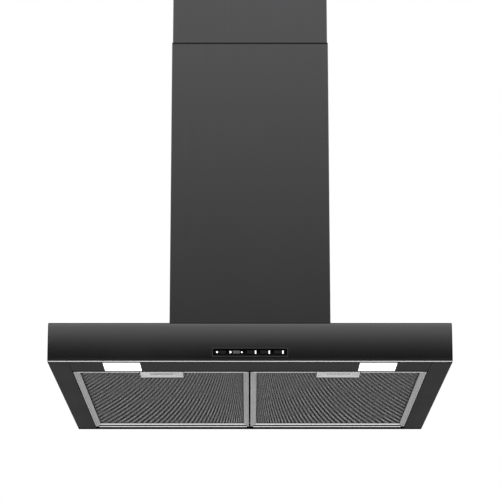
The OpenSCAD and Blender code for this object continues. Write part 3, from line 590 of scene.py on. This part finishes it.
def tinted(tree, base, tone, amount):
    """Base colour made lighter and darker by a signed tone."""
    darkest = 0.03
    swing = math_node(tree, "MULTIPLY", tone, amount)
    factor = math_node(tree, "MAXIMUM", math_node(tree, "ADD", swing, 1.0), darkest)
    scale = tree.nodes.new("ShaderNodeVectorMath")
    scale.operation = "SCALE"
    scale.inputs[0].default_value = base
    wire(tree, factor, scale.inputs["Scale"])
    return scale.outputs[0]


def finish_material(name, base, metallic=0.0, rough=0.4, stretch=(900.0, 900.0, 900.0), tone=0.15,
                    smudge=0.1, bump=0.02, specular=0.5, group=None, **settings):
    """Common build of the hood's finishes: grain or spangle in colour, smudges in roughness, fine bump.

    Stretch sets how fine the grain is along X, Y and Z, and bump is its height in millimetres.
    """
    made = bpy.data.materials.get("look_" + name)
    if made:
        return made
    made = bpy.data.materials.new("look_" + name)
    made.use_nodes = True
    tree = made.node_tree
    shader = tree.nodes["Principled BSDF"]
    shader.inputs["Metallic"].default_value = metallic
    shader.inputs["Specular IOR Level"].default_value = specular
    grain = group_node(tree, "drawn_grain", Stretch=stretch)
    wear = group_node(tree, "handling_wear")
    level = math_node(tree, "MULTIPLY", grain.outputs["Tone"], tone)
    # A pattern group may add painted highlight and shade to the colour, as on the filter bars.
    if group:
        pattern = group_node(tree, group, **settings)
        level = math_node(tree, "ADD", level, pattern.outputs["Tone"])
    wire(tree, tinted(tree, base, level, 2.0), shader.inputs["Base Color"])
    spread = math_node(tree, "MULTIPLY", wear.outputs["Smudge"], smudge * 2)
    wire(tree, math_node(tree, "ADD", spread, rough), shader.inputs["Roughness"])
    relief = tree.nodes.new("ShaderNodeBump")
    relief.inputs["Strength"].default_value = 1.0
    relief.inputs["Distance"].default_value = bump * MM
    wire(tree, grain.outputs["Height"], relief.inputs["Height"])
    wire(tree, relief.outputs[0], shader.inputs["Normal"])
    return made


def black_steel():
    base = tuple(bpy.context.scene.hood_sheet.black)
    return finish_material("black_steel_vertical", base, metallic=1.0, rough=0.2,
                           stretch=(1500.0, 1500.0, 6.0), tone=0.12, smudge=0.05, bump=0.004)


def black_canopy():
    base = tuple(0.9 * c for c in bpy.context.scene.hood_sheet.black)
    return finish_material("black_steel_canopy", base, metallic=1.0, rough=0.36,
                           stretch=(8.0, 1500.0, 1500.0), tone=0.10, smudge=0.05, bump=0.004)


def gloss_panel():
    base = tuple(1.1 * c for c in bpy.context.scene.hood_sheet.black)
    return finish_material("gloss_black_panel", base, metallic=1.0, rough=0.2,
                           stretch=(6.0, 1500.0, 1500.0), tone=0.06, smudge=0.04, bump=0.002)


def underside_black():
    return finish_material("underside_black", (0.0225, 0.0225, 0.023), rough=0.6,
                           stretch=(700.0, 700.0, 700.0), tone=0.10, smudge=0.06, specular=0.09)


# Near-black matte colour for the blocks of painted shade.
def seal_black():
    return finish_material("seal_black", (0.004, 0.004, 0.004), rough=0.9, tone=0.3, specular=0.0)


# Dark felt colour, also painted shade in the chimney seam.
def felt_grey():
    return finish_material("felt_grey", (0.03, 0.03, 0.03), rough=0.95, tone=0.4, specular=0.0)


# Near-white trim colour: a real bright strip with a painted highlight in its colour.
def polished_strip():
    return finish_material("polished_strip", (0.97, 0.97, 0.97), metallic=0.15, rough=0.3,
                           stretch=(6.0, 1800.0, 1800.0), tone=0.06)


def zinc():
    return finish_material("zinc_plate", (0.5, 0.51, 0.52), metallic=1.0, rough=0.42, tone=0.1,
                           group="zinc_spangle", Scale=90.0, Amount=0.18)


def dark_screws():
    return finish_material("dark_screws", (0.05, 0.05, 0.05), metallic=1.0)


def filter_bar():
    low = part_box("filter_frame_left")[0].z
    # Its pattern group paints a highlight on the bars' outer rim and rear wall, and shade on their inner
    # walls.
    return finish_material("filter_bar", (0.56, 0.56, 0.565), metallic=0.9, stretch=(900.0, 30.0, 900.0),
                           tone=0.08, smudge=0.06, bump=0.004, group="bar_zones", Rim_Top=low + 1.3 * MM,
                           Wall_Foot=low + 1.9 * MM, Rear=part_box("filter_mesh_left")[1].y - 2.5 * MM)


def rivet_metal():
    return finish_material("rivet_metal", (0.7, 0.7, 0.71), metallic=1.0, rough=0.35, tone=0.08)


def mesh_wire():
    return finish_material("mesh_wire", (0.25, 0.25, 0.255), metallic=0.9, rough=0.45, tone=0.2,
                           group="crossed_arcs")


def foil():
    return finish_material("filter_foil", (0.1, 0.1, 0.103), metallic=0.9, rough=0.5, tone=0.2,
                           group="crossed_arcs")


def latch_satin():
    return finish_material("latch_satin", (0.88, 0.88, 0.89), metallic=0.3, rough=0.35,
                           stretch=(40.0, 900.0, 900.0), tone=0.05, smudge=0.05, bump=0.003)


def polished_edge():
    return finish_material("polished_edge", (0.95, 0.95, 0.95), metallic=1.0, rough=0.2,
                           stretch=(40.0, 900.0, 900.0), tone=0.05, smudge=0.05, bump=0.002)


def spring_wire():
    return finish_material("spring_wire", (0.5, 0.5, 0.5), metallic=1.0, rough=0.3)


def white_plastic():
    return finish_material("white_plastic", (0.8, 0.8, 0.78), rough=0.45, tone=0.05)


def board_green():
    return finish_material("board_green", (0.03, 0.16, 0.07), rough=0.35, tone=0.25)


def black_plastic():
    return finish_material("black_plastic", (0.03, 0.03, 0.031), rough=0.5, stretch=(600.0, 600.0, 600.0),
                           tone=0.2, bump=0.06)


def motor_steel():
    return finish_material("motor_steel", (0.3, 0.3, 0.31), metallic=1.0, rough=0.5,
                           stretch=(2500.0, 12.0, 12.0), tone=0.25)


def rubber():
    return finish_material("rubber", (0.02, 0.02, 0.02), rough=0.75, tone=0.2)


def loom_sleeve():
    return finish_material("loom_sleeve", (0.025, 0.025, 0.025), rough=0.6, tone=0.4, bump=0.1)


def window_gloss():
    return finish_material("window_gloss", (0.002, 0.002, 0.002), rough=0.2, tone=0.1, smudge=0.04,
                           bump=0.001, specular=0.08)


def button_grey():
    return finish_material("button_grey", (0.014, 0.014, 0.0143), rough=0.42, tone=0.1, bump=0.01,
                           specular=0.2)


def button_bright():
    return finish_material("button_bright", (0.14, 0.14, 0.142), rough=0.42, tone=0.1, bump=0.01)


def bezel_grey():
    return finish_material("bezel_grey", (0.07, 0.07, 0.071), rough=0.5, tone=0.1, specular=0.1)


def glowing(name, colour, strength, cell):
    """A lit surface whose light varies a little over a fine prism pattern."""
    made = bpy.data.materials.get("look_" + name)
    if made:
        return made
    made = bpy.data.materials.new("look_" + name)
    made.use_nodes = True
    tree = made.node_tree
    shader = tree.nodes["Principled BSDF"]
    shader.inputs["Roughness"].default_value = 0.3
    shader.inputs["Emission Strength"].default_value = strength
    prism = group_node(tree, "zinc_spangle", Scale=cell, Amount=1.0)
    shade = tinted(tree, colour, prism.outputs["Tone"], 0.04)
    wire(tree, shade, shader.inputs["Base Color"])
    wire(tree, shade, shader.inputs["Emission Color"])
    return made


def lamp_glow():
    return glowing("lamp_glow", (1.0, 1.0, 0.99), 1.6, 700.0)


# Printed marks made to glow: painted light, not a lamp.
def mark_glow():
    return glowing("mark_glow", (0.95, 0.95, 0.95), 0.9, 900.0)


def dress(node, material):
    """Gives a CAD node that stays visible its material."""
    data = NODES[node].data
    data.materials.clear()
    data.materials.append(material)


# ---------- stage ----------

class HOOD_OT_stage(bpy.types.Operator):
    """Pale floor, soft studio light and the camera"""

    bl_idname = "hood.stage"
    bl_label = "Stage"
    # Elevation in degrees and brightness of the room there
    ROOM = ((-89, 0.5), (-30, 0.5), (-8.5, 0.4), (-4, 0.05), (2, 0.03), (5, 0.06), (9, 0.15), (11.7, 0.25),
            (15.5, 0.5), (20.5, 0.97), (30, 1.0), (89, 1.1))

    def execute(self, context):
        stage = context.scene.hood_stage
        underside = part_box("underside_frame")[0].z
        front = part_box("front_fascia")[0].y
        self.floor(stage, underside)
        self.world(context.scene)
        self.lights(front, underside)
        self.camera(context.scene, stage, front, underside)
        return {"FINISHED"}

    def floor(self, stage, underside):
        sides = 96
        fade_start = 0.45
        fade_end = 0.98
        z = underside - stage.floor_drop
        verts = [(stage.floor_radius * math.cos(2 * math.pi * k / sides),
                  stage.floor_radius * math.sin(2 * math.pi * k / sides), z) for k in range(sides)]
        mesh = bpy.data.meshes.new("floor")
        mesh.from_pydata(verts, [], [tuple(range(sides))])
        floor = link("floor", mesh)
        material = bpy.data.materials.new("pale_floor")
        material.use_nodes = True
        tree = material.node_tree
        shader = tree.nodes["Principled BSDF"]
        shader.inputs["Base Color"].default_value = (0.9, 0.9, 0.9, 1)
        shader.inputs["Roughness"].default_value = 0.7
        clear = tree.nodes.new("ShaderNodeBsdfTransparent")
        place = tree.nodes.new("ShaderNodeTexCoord")
        flat = tree.nodes.new("ShaderNodeVectorMath")
        flat.operation = "MULTIPLY"
        flat.inputs[1].default_value = (1, 1, 0)
        wire(tree, place.outputs["Object"], flat.inputs[0])
        length = tree.nodes.new("ShaderNodeVectorMath")
        length.operation = "LENGTH"
        wire(tree, flat.outputs[0], length.inputs[0])
        fade = tree.nodes.new("ShaderNodeMapRange")
        fade.interpolation_type = "SMOOTHSTEP"
        fade.inputs["From Min"].default_value = stage.floor_radius * fade_start
        fade.inputs["From Max"].default_value = stage.floor_radius * fade_end
        wire(tree, length.outputs["Value"], fade.inputs["Value"])
        side = tree.nodes.new("ShaderNodeNewGeometry")
        hidden = math_node(tree, "MAXIMUM", fade.outputs[0], side.outputs["Backfacing"])
        mix = tree.nodes.new("ShaderNodeMixShader")
        wire(tree, hidden, mix.inputs[0])
        wire(tree, shader.outputs[0], mix.inputs[1])
        wire(tree, clear.outputs[0], mix.inputs[2])
        wire(tree, mix.outputs[0], tree.nodes["Material Output"].inputs["Surface"])
        mesh.materials.append(material)

    def world(self, scene):
        """White to the camera; a room that brightens upwards to everything else."""
        world = bpy.data.worlds.new("studio")
        scene.world = world
        world.use_nodes = True
        tree = world.node_tree
        tree.nodes.clear()
        out = tree.nodes.new("ShaderNodeOutputWorld")
        place = tree.nodes.new("ShaderNodeTexCoord")
        split = tree.nodes.new("ShaderNodeSeparateXYZ")
        wire(tree, place.outputs["Generated"], split.inputs[0])
        ramp = tree.nodes.new("ShaderNodeValToRGB")
        ramp.color_ramp.elements.remove(ramp.color_ramp.elements[1])
        for elevation, value in self.ROOM:
            element = ramp.color_ramp.elements.new(0.5 + 0.5 * math.sin(math.radians(elevation)))
            element.color = (value, value, value, 1)
        ramp.color_ramp.elements.remove(ramp.color_ramp.elements[0])
        height = math_node(tree, "ADD", math_node(tree, "MULTIPLY", split.outputs[2], 0.5), 0.5)
        wire(tree, height, ramp.inputs[0])
        room = tree.nodes.new("ShaderNodeBackground")
        wire(tree, ramp.outputs[0], room.inputs["Color"])
        plain = tree.nodes.new("ShaderNodeBackground")
        plain.inputs["Color"].default_value = (1, 1, 1, 1)
        path = tree.nodes.new("ShaderNodeLightPath")
        mix = tree.nodes.new("ShaderNodeMixShader")
        wire(tree, path.outputs["Is Camera Ray"], mix.inputs[0])
        wire(tree, room.outputs[0], mix.inputs[1])
        wire(tree, plain.outputs[0], mix.inputs[2])
        wire(tree, mix.outputs[0], out.inputs["Surface"])
        scene.view_settings.view_transform = "Standard"

    def lights(self, front, underside):
        """Soft panels in front above, on both sides and behind."""
        target = Vector((0, 0, underside / 2))
        # Name, place, width in metres, power in watts
        rows = (
            ("key_light", (0.0, front - 2.2, 2.4), 2.2, 8),
            ("left_light", (-2.8, -0.4, 0.6), 1.6, 5),
            ("right_light", (2.8, -0.4, 0.6), 1.6, 5),
            ("back_light", (0.0, 2.8, 1.2), 2.0, 8),
        )
        for name, place, size, power in rows:
            lamp = bpy.data.lights.new(name, "AREA")
            lamp.size = size
            lamp.energy = power
            light = bpy.data.objects.new(name, lamp)
            light.location = place
            light.rotation_euler = (target - Vector(place)).to_track_quat("-Z", "Y").to_euler()
            bpy.context.scene.collection.objects.link(light)

    def camera(self, scene, stage, front, underside):
        data = bpy.data.cameras.new("camera")
        data.lens = stage.lens
        data.sensor_width = 36
        camera = bpy.data.objects.new("camera", data)
        camera.location = (0, front - stage.camera_back, underside - stage.camera_drop)
        camera.rotation_euler = (math.pi / 2 + stage.camera_pitch, 0, 0)
        scene.collection.objects.link(camera)
        scene.camera = camera


# ---------- chimney ----------

class HOOD_OT_chimney(bpy.types.Operator):
    """Both chimney sections with folded corners, and their screws"""

    bl_idname = "hood.chimney"
    bl_label = "Chimney"

    def execute(self, context):
        sheet = context.scene.hood_sheet
        wall = 0.8 * MM
        rim_ease = 0.2 * MM
        head_height = 1.7 * MM
        for node, body in (("upper_chimney", "frame"), ("lower_chimney", "lower_chimney")):
            low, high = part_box(node)
            outer = rounded_outline(high.x, high.y, sheet.chimney_fold)
            inner = rounded_outline(high.x - wall, high.y - wall, sheet.chimney_fold - wall)
            piece = tube_piece(node + "_sheet", outer, inner, low.z, high.z, rim_ease)
            self.seam(piece, high, low.z, high.z)
            finish_piece(piece, black_steel(), body, "black_chimney", node)
        self.felt(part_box("upper_chimney")[1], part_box("lower_chimney")[1])
        low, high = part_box("chimney_screws")
        z = (low.z + high.z) / 2
        radius = (high.z - low.z) / 2
        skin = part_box("upper_chimney")[1].x
        reach = high.y - radius
        places = [(Vector((s * skin, t * reach, z)), (s, 0, 0)) for s in (-1, 1) for t in (-1, 1)]
        heads_piece("chimney_screw_heads", places, radius, head_height, dark_screws(), "frame",
                    "black_steel_screws", "chimney_screws")
        return {"FINISHED"}

    def felt(self, upper, lower):
        """Felt strip on the rim of the lower section, wiping the upper one; its dark colour is also painted
        shade in the seam.
        """
        clear = 0.05 * MM
        inset = 0.1 * MM
        foot = lower.z + 0.01 * MM
        head = lower.z + 2.6 * MM
        outer = rounded_outline(lower.x - inset, lower.y - inset, 1.5 * MM)
        inner = rounded_outline(upper.x + clear, upper.y + clear, 1.2 * MM)
        piece = tube_piece("slide_felt", outer, inner, foot, head, 0.2 * MM)
        finish_piece(piece, felt_grey(), "lower_chimney", "rubber_bush")

    def seam(self, piece, high, z0, z1):
        """Fine joint line down the middle of the back."""
        half = 0.35 * MM
        depth = 0.35 * MM
        cut(piece, (-half, high.y - depth, z0 - MM), (half, high.y + MM, z1 + MM))


# ---------- canopy ----------

class HOOD_OT_canopy(bpy.types.Operator):
    """Canopy shell, crowned front panel, bright strip and underside plates"""

    bl_idname = "hood.canopy"
    bl_label = "Canopy"
    PANEL_WALL = 1.2 * MM

    def execute(self, context):
        sheet = context.scene.hood_sheet
        refine("canopy_shell", "canopy_shell_sheet", sheet.edge, black_canopy(), "frame", "black_canopy")
        self.strip()
        self.rear_seal()
        refine("underside_frame", "underside_rails", 0.3 * MM, underside_black(), "frame", "black_canopy")
        refine("lamp_panel", "lamp_strip", 0.3 * MM, underside_black(), "frame", "black_canopy")
        self.front_panel(sheet)
        return {"FINISHED"}

    def strip(self):
        """Bright trim strip, its near-white colour partly a painted highlight, with black painted shade above
        and behind it.
        """
        low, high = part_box("fascia_trim")
        depth = 1.7 * MM
        height = 1.3 * MM
        end_gap = 0.2 * MM
        # Real trim strip; its near-white colour is partly a painted highlight.
        bright = box_piece("bright_strip", low, (high.x, low.y + depth, low.z + height), polished_strip(),
                           "frame", "polished_steel")
        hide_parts("fascia_trim")
        # Black blocks of painted shade above and behind the strip.
        shade_block("strip_seal", (low.x + end_gap, low.y + 0.4 * MM, low.z + 1.15 * MM),
                   (high.x - end_gap, high.y, low.z + 3.1 * MM))
        shade_block("strip_channel", (low.x + end_gap, low.y + depth, low.z - 0.05 * MM),
                   (high.x - end_gap, low.y + 9.5 * MM, low.z + 0.9 * MM))

    def rear_seal(self):
        """Black blocks of painted shade under and in front of the rear land, and one behind the lamp strip.
        """
        low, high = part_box("underside_frame")
        filter_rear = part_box("filter_frame_left")[1].y
        proud = 0.15 * MM
        skin = 0.1 * MM
        end_gap = 0.2 * MM
        rail = 32 * MM
        shade_block("rear_seal", (low.x + end_gap, filter_rear + 6.55 * MM, low.z - proud),
                   (high.x - end_gap, high.y - skin, low.z + skin))
        shade_block("rear_wall_seal", (low.x + rail, filter_rear + 6.2 * MM, low.z - proud),
                   (high.x - rail, filter_rear + 6.6 * MM, low.z + 3 * MM))
        side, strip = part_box("lamp_panel")
        shade_block("lamp_strip_seal", (side.x, strip.y - 6.5 * MM, side.z - skin),
                   (strip.x, strip.y, side.z + skin), width=0.03 * MM)

    def front_panel(self, sheet):
        """A C-shaped section run across the front, closed at its ends, cut out for the window."""
        low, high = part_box("front_fascia")
        wall = self.PANEL_WALL
        fold = 1.5 * MM
        steps = 14
        middle = (low.z + high.z) / 2
        half = (high.z - low.z) / 2 - fold
        crown = [(low.y + sheet.crown * (k / steps * 2 - 1) ** 2, middle + half * (k / steps * 2 - 1))
                 for k in range(steps + 1)]
        edge = low.y + sheet.crown + fold
        corner = [math.radians(a) for a in (30, 60)]
        upper = [(edge - fold * math.cos(a), high.z - fold + fold * math.sin(a)) for a in corner]
        lower = [(edge - fold * math.cos(a), low.z + fold - fold * math.sin(a)) for a in reversed(corner)]
        outer = [(high.y, low.z), (edge, low.z)] + lower + crown + upper + [(edge, high.z), (high.y, high.z)]
        inner = [(high.y, low.z + wall), (edge, low.z + wall)]
        inner += [(y + wall, z) for y, z in crown[1:-1]]
        inner += [(edge, high.z - wall), (high.y, high.z - wall)]
        section = outer + list(reversed(inner))
        count = len(section)
        verts = [(x, y, z) for x in (low.x, high.x) for y, z in section]
        faces = [(i, (i + 1) % count, count + (i + 1) % count, count + i) for i in range(count)]
        faces += [tuple(range(count)), tuple(range(2 * count - 1, count - 1, -1))]
        piece = mesh_piece("front_panel", verts, faces)
        window_low, window_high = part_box("control_window")
        gap = 0.15 * MM
        rim = 3 * MM - gap
        lip = 2.1 * MM - gap
        start = (window_low.x + rim, window_low.z + lip)
        end = (window_high.x - rim, window_high.z - lip)
        cut(piece, (start[0], low.y - MM, start[1]), (end[0], low.y + 3 * MM, end[1]))
        self.bezel(low.y, start, end)
        finish_piece(piece, gloss_panel(), "frame", "gloss_black_panel", "front_fascia", sharp=25)
        self.end_caps(low, high, outer)
        # Black strip along the panel's top edge: painted shade in the joint with the canopy top.
        end_gap = 0.3 * MM
        shade_block("panel_joint", (low.x + end_gap, low.y + 2.2 * MM, high.z - 0.1 * MM),
                   (high.x - end_gap, high.y + 0.5 * MM, high.z + 0.9 * MM))

    def bezel(self, front, start, end):
        """Thin grey rim around the button window."""
        width = 1.1 * MM
        face = front + 0.05 * MM
        back = front + 1.6 * MM
        verts = []
        for y in (face, back):
            for grow in (width, 0.0):
                x0, z0 = start[0] - grow, start[1] - grow
                x1, z1 = end[0] + grow, end[1] + grow
                verts += [(x0, y, z0), (x1, y, z0), (x1, y, z1), (x0, y, z1)]
        faces = []
        for k in range(4):
            n = (k + 1) % 4
            faces.append((k, n, 4 + n, 4 + k))
            faces.append((8 + k, 12 + k, 12 + n, 8 + n))
            faces.append((k, 8 + k, 8 + n, n))
            faces.append((4 + k, 4 + n, 12 + n, 12 + k))
        finish_piece(mesh_piece("window_bezel", verts, faces), bezel_grey(), "frame", "window_black")

    def end_caps(self, low, high, outer):
        """Folded side returns of the front panel."""
        inset = 0.02 * MM
        count = len(outer)
        profile = [(max(y, low.y + inset), z) for y, z in outer]
        for side, x, inward in (("left", low.x, self.PANEL_WALL), ("right", high.x, -self.PANEL_WALL)):
            verts = [(x, y, z) for y, z in profile] + [(x + inward, y, z) for y, z in profile]
            faces = [(i, (i + 1) % count, count + (i + 1) % count, count + i) for i in range(count)]
            faces += [tuple(range(count)), tuple(range(2 * count - 1, count - 1, -1))]
            piece = mesh_piece("front_panel_end_" + side, verts, faces)
            finish_piece(piece, gloss_panel(), "frame", "gloss_black_panel", sharp=25)


# ---------- lamps ----------

class HOOD_OT_lamps(bpy.types.Operator):
    """Lit lamp windows, their housings, boards and driver"""

    bl_idname = "hood.lamps"
    bl_label = "Lamps"

    def execute(self, context):
        for side in SIDES:
            refine("lamp_lens_" + side, "lamp_window_" + side, 0.2 * MM, lamp_glow(), "frame", "lamp_lens")
            refine("lamp_housing_" + side, "lamp_case_" + side, 0.4 * MM, white_plastic(), "frame",
                   "white_plastic")
            dress("led_board_" + side, board_green())
        refine("led_driver", "lamp_driver_case", 0.6 * MM, white_plastic(), "frame", "white_plastic")
        return {"FINISHED"}


# ---------- filters ----------

class HOOD_OT_filters(bpy.types.Operator):
    """Grease filters: frames, woven mesh, foil, handles, latches and rivets"""

    bl_idname = "hood.filters"
    bl_label = "Grease filters"

    def execute(self, context):
        settings = context.scene.hood_filters
        for side in SIDES:
            body = "filter_" + side
            refine("filter_frame_" + side, "filter_bars_" + side, 0.3 * MM, filter_bar(), body,
                   "filter_aluminium")
            ends = self.bar_ends(side)
            self.shade_strips(side, body, ends)
            self.bright_edges(side, body, ends)
            self.weave(side, body, settings)
            self.foil(side, body, settings)
            refine("filter_handle_" + side, "filter_grip_" + side, 0.5 * MM, latch_satin(), body,
                   "latch_metal")
            refine("filter_latch_" + side, "latch_slider_" + side, 0.25 * MM, latch_satin(), "latch_" + side,
                   "latch_metal")
            dress("latch_spring_" + side, spring_wire())
            self.rivets(side, body)
        return {"FINISHED"}

    def bar_ends(self, side):
        """Where the strips along a filter's front and rear bars start and stop."""
        low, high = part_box("filter_frame_" + side)
        near = min(abs(low.x), abs(high.x)) + 5 * MM
        far = max(abs(low.x), abs(high.x)) - 8 * MM
        return (-far, -near) if side == "left" else (near, far)

    def shade_strips(self, side, body, ends):
        """Black strips of painted shade at the front edge, inner side and rear bar, and a painted shadow
        behind the handle.
        """
        low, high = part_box("filter_frame_" + side)
        grip_low, grip_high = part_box("filter_handle_" + side)
        start, end = ends
        inner = -2.0 * MM if side == "left" else 0.6 * MM
        inner_width = 1.5 * MM if side == "left" else 0.3 * MM
        corner = 3 * MM
        skin = 0.1 * MM
        rows = (
            ("front_seal_", (start, low.y, low.z - 0.15 * MM), (end, low.y + 1.7 * MM, low.z + 0.5 * MM)),
            ("side_seal_", (inner, low.y + corner, low.z - skin),
             (inner + inner_width, high.y - corner, low.z + 2.6 * MM)),
            ("rear_groove_", (start, high.y - 8.6 * MM, low.z - skin),
             (end, high.y - 1.1 * MM, low.z + 0.9 * MM)),
            ("handle_lip_", (grip_low.x, grip_high.y - 0.3 * MM, grip_low.z + skin),
             (grip_high.x, grip_high.y + 5.5 * MM, grip_low.z + 0.8 * MM)),
        )
        for name, lo, hi in rows:
            shade_block(name + side, lo, hi, body, 0.05 * MM)

    def bright_edges(self, side, body, ends):
        """Bright lips on both sides of the handle, and the polished edges of the rear bar."""
        low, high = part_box("filter_frame_" + side)
        grip_low, grip_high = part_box("filter_handle_" + side)
        start, end = ends
        handle_gap = MM
        for name, x0, x1 in (("front_lip_outer_", start, grip_low.x - handle_gap),
                             ("front_lip_inner_", grip_high.x + handle_gap, end)):
            box_piece(name + side, (x0, low.y + 0.2 * MM, low.z - 1.2 * MM),
                      (x1, low.y + 6.5 * MM, low.z - 0.1 * MM), latch_satin(), body, "latch_metal")
        self.rolled_edge("rear_rim_" + side, ends, high.y - 1.6 * MM, high.y, low.z - MM, low.z, body)
        self.rolled_edge("rear_face_" + side, ends, high.y - 10 * MM, high.y - 8.6 * MM, low.z + MM,
                         low.z + 3.1 * MM, body)

    def rolled_edge(self, name, ends, front, rear, bottom, top, body):
        """Polished edge that slopes from its top at the front to its bottom at the rear."""
        corners = ((front, top), (rear, bottom), (rear, top))
        verts = [(x, y, z) for x in ends for y, z in corners]
        faces = [(0, 1, 2), (3, 5, 4), (0, 3, 4, 1), (1, 4, 5, 2), (2, 5, 3, 0)]
        finish_piece(mesh_piece(name, verts, faces), polished_edge(), body, "latch_metal")

    def weave(self, side, body, settings):
        """Woven mesh, open round the handle."""
        low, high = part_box("filter_mesh_" + side)
        grip_low, grip_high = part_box("filter_handle_" + side)
        margin = 0.8 * MM
        piece = link("woven_mesh_" + side, bpy.data.meshes.new("woven_mesh_" + side))
        tree = bpy.data.node_groups.get("woven_mesh") or weave_tree()
        set_inputs(piece, tree, {
            "Width": high.x - low.x,
            "Depth": high.y - low.y,
            "Pitch": settings.pitch,
            "Wire Radius": settings.wire,
            "Corner": (low.x, low.y, low.z + 2.1 * settings.wire),
            "Gap Low": (grip_low.x - margin, low.y - margin, 0.0),
            "Gap High": (grip_high.x + margin, grip_high.y + margin, 0.0),
            "Material": mesh_wire(),
        })
        finish_piece(piece, mesh_wire(), body, "filter_mesh", "filter_mesh_" + side, sharp=180)

    def foil(self, side, body, settings):
        """Folded foil layer behind the woven mesh."""
        low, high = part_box("filter_mesh_" + side)
        grip_low, grip_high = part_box("filter_handle_" + side)
        z0 = high.z - 0.4 * MM
        rise = 0.3 * MM
        thick = 0.1 * MM
        count = settings.foil_folds
        inset = 1.6 * MM
        fold = (high.x - low.x - 2 * inset) / count
        verts = []
        for layer in (0, thick):
            for k in range(count + 1):
                x = low.x + inset + fold * k
                z = z0 + layer + (rise if k % 2 else 0)
                beside = x < grip_low.x - fold or x > grip_high.x + fold
                front = low.y + inset if beside else grip_high.y + 0.5 * MM
                verts += [(x, front, z), (x, high.y - inset, z)]
        row = 2 * (count + 1)
        faces = []
        for k in range(count):
            a = 2 * k
            faces.append((a, a + 1, a + 3, a + 2))
            faces.append((row + a, row + a + 2, row + a + 3, row + a + 1))
            faces.append((a, a + 2, row + a + 2, row + a))
            faces.append((a + 1, row + a + 1, row + a + 3, a + 3))
        faces.append((0, row, row + 1, 1))
        faces.append((row - 2, row - 1, 2 * row - 1, 2 * row - 2))
        piece = mesh_piece("filter_foil_" + side, verts, faces)
        finish_piece(piece, foil(), body, "filter_mesh")

    def rivets(self, side, body):
        """Small rivets at the corners of a filter's frame."""
        low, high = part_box("filter_frame_" + side)
        mesh_low, mesh_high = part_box("filter_mesh_" + side)
        outward = 3.2 * MM
        inward = 5.3 * MM
        radius = 1.3 * MM
        height = 0.5 * MM
        face = low.z + 1.5 * MM
        places = [(Vector((x, y, face)), (0, 0, -1))
                  for x in (mesh_low.x - outward, mesh_high.x + outward)
                  for y in (low.y + inward, high.y - inward)]
        heads_piece("filter_rivets_" + side, places, radius, height, rivet_metal(), body, "filter_aluminium")


# ---------- controls ----------

class HOOD_OT_controls(bpy.types.Operator):
    """Button window with its buttons and pointers"""

    bl_idname = "hood.controls"
    bl_label = "Controls"

    def execute(self, context):
        refine("control_window", "button_window", 0.15 * MM, window_gloss(), "frame", "window_black")
        refine("control_housing", "button_case", 0.4 * MM, black_plastic(), "frame", "black_plastic")
        dress("control_board", board_green())
        # The printed marks glow: painted light.
        dress("control_marks", mark_glow())
        lighter = 2
        for k in range(1, 6):
            cap = button_bright() if k == lighter else button_grey()
            refine("button_%d" % k, "button_cap_%d" % k, 0.3 * MM, cap, "button_%d" % k, "button_grey")
        return {"FINISHED"}


# ---------- inside ----------

class HOOD_OT_inside(bpy.types.Operator):
    """Suspension frame, blower, flaps and wiring"""

    bl_idname = "hood.inside"
    bl_label = "Inside"

    def execute(self, context):
        plastic = ("black_plastic", black_plastic())
        screws = ("black_steel_screws", dark_screws())
        bright = ("zinc_steel", zinc())
        rows = (
            (("ceiling_bracket", "upper_uprights", "lower_uprights", "blower_box"), 0.3 * MM, bright),
            (("frame_base", "filter_rail", "motor_bracket", "flap_pin"), 0.0, bright),
            (("frame_bolts", "blower_screws", "canopy_bolts"), 0.0, screws),
            (("power_box", "power_lid", "cable_gland"), 0.4 * MM, plastic),
            (("volute_left", "volute_right", "outlet_adapter"), 0.0, plastic),
            (("motor",), 0.0, ("motor_metal", motor_steel())),
            (("motor_bushes",), 0.0, ("rubber_bush", rubber())),
            (("capacitor", "terminal_block"), 0.3 * MM, ("white_plastic", white_plastic())),
            (("wiring_loom",), 0.0, ("loom", loom_sleeve())),
        )
        for nodes, width, (slot, material) in rows:
            for node in nodes:
                refine(node, node + "_look", width, material, "frame", slot)
        for node in ("flap_front", "flap_rear", "impeller"):
            refine(node, node + "_look", 0.0, black_plastic(), node, "black_plastic")
        return {"FINISHED"}


class HOOD_PT_panel(bpy.types.Panel):
    """Steps that build the range hood"""

    bl_label = "Range Hood"
    bl_idname = "HOOD_PT_panel"
    bl_space_type = "VIEW_3D"
    bl_region_type = "UI"
    bl_category = "Range Hood"

    def draw(self, context):
        for operator in OPERATORS:
            self.layout.operator(operator.bl_idname)
        for group in (context.scene.hood_stage, context.scene.hood_sheet, context.scene.hood_filters):
            for name in group.__annotations__:
                self.layout.prop(group, name)


SETTINGS = (("hood_stage", StageSettings), ("hood_sheet", SheetSettings), ("hood_filters", FilterSettings))
OPERATORS = (HOOD_OT_stage, HOOD_OT_chimney, HOOD_OT_canopy, HOOD_OT_lamps, HOOD_OT_filters,
             HOOD_OT_controls, HOOD_OT_inside)


def register():
    for name, group in SETTINGS:
        bpy.utils.register_class(group)
        setattr(bpy.types.Scene, name, PointerProperty(type=group))
    for cls in (*OPERATORS, HOOD_PT_panel):
        bpy.utils.register_class(cls)


def unregister():
    for cls in (HOOD_PT_panel, *reversed(OPERATORS)):
        bpy.utils.unregister_class(cls)
    for name, group in reversed(SETTINGS):
        delattr(bpy.types.Scene, name)
        bpy.utils.unregister_class(group)


def main():
    register()
    bpy.ops.hood.stage()
    bpy.ops.hood.chimney()
    bpy.ops.hood.canopy()
    bpy.ops.hood.lamps()
    bpy.ops.hood.filters()
    bpy.ops.hood.controls()
    bpy.ops.hood.inside()


if __name__ == "__main__":
    main()
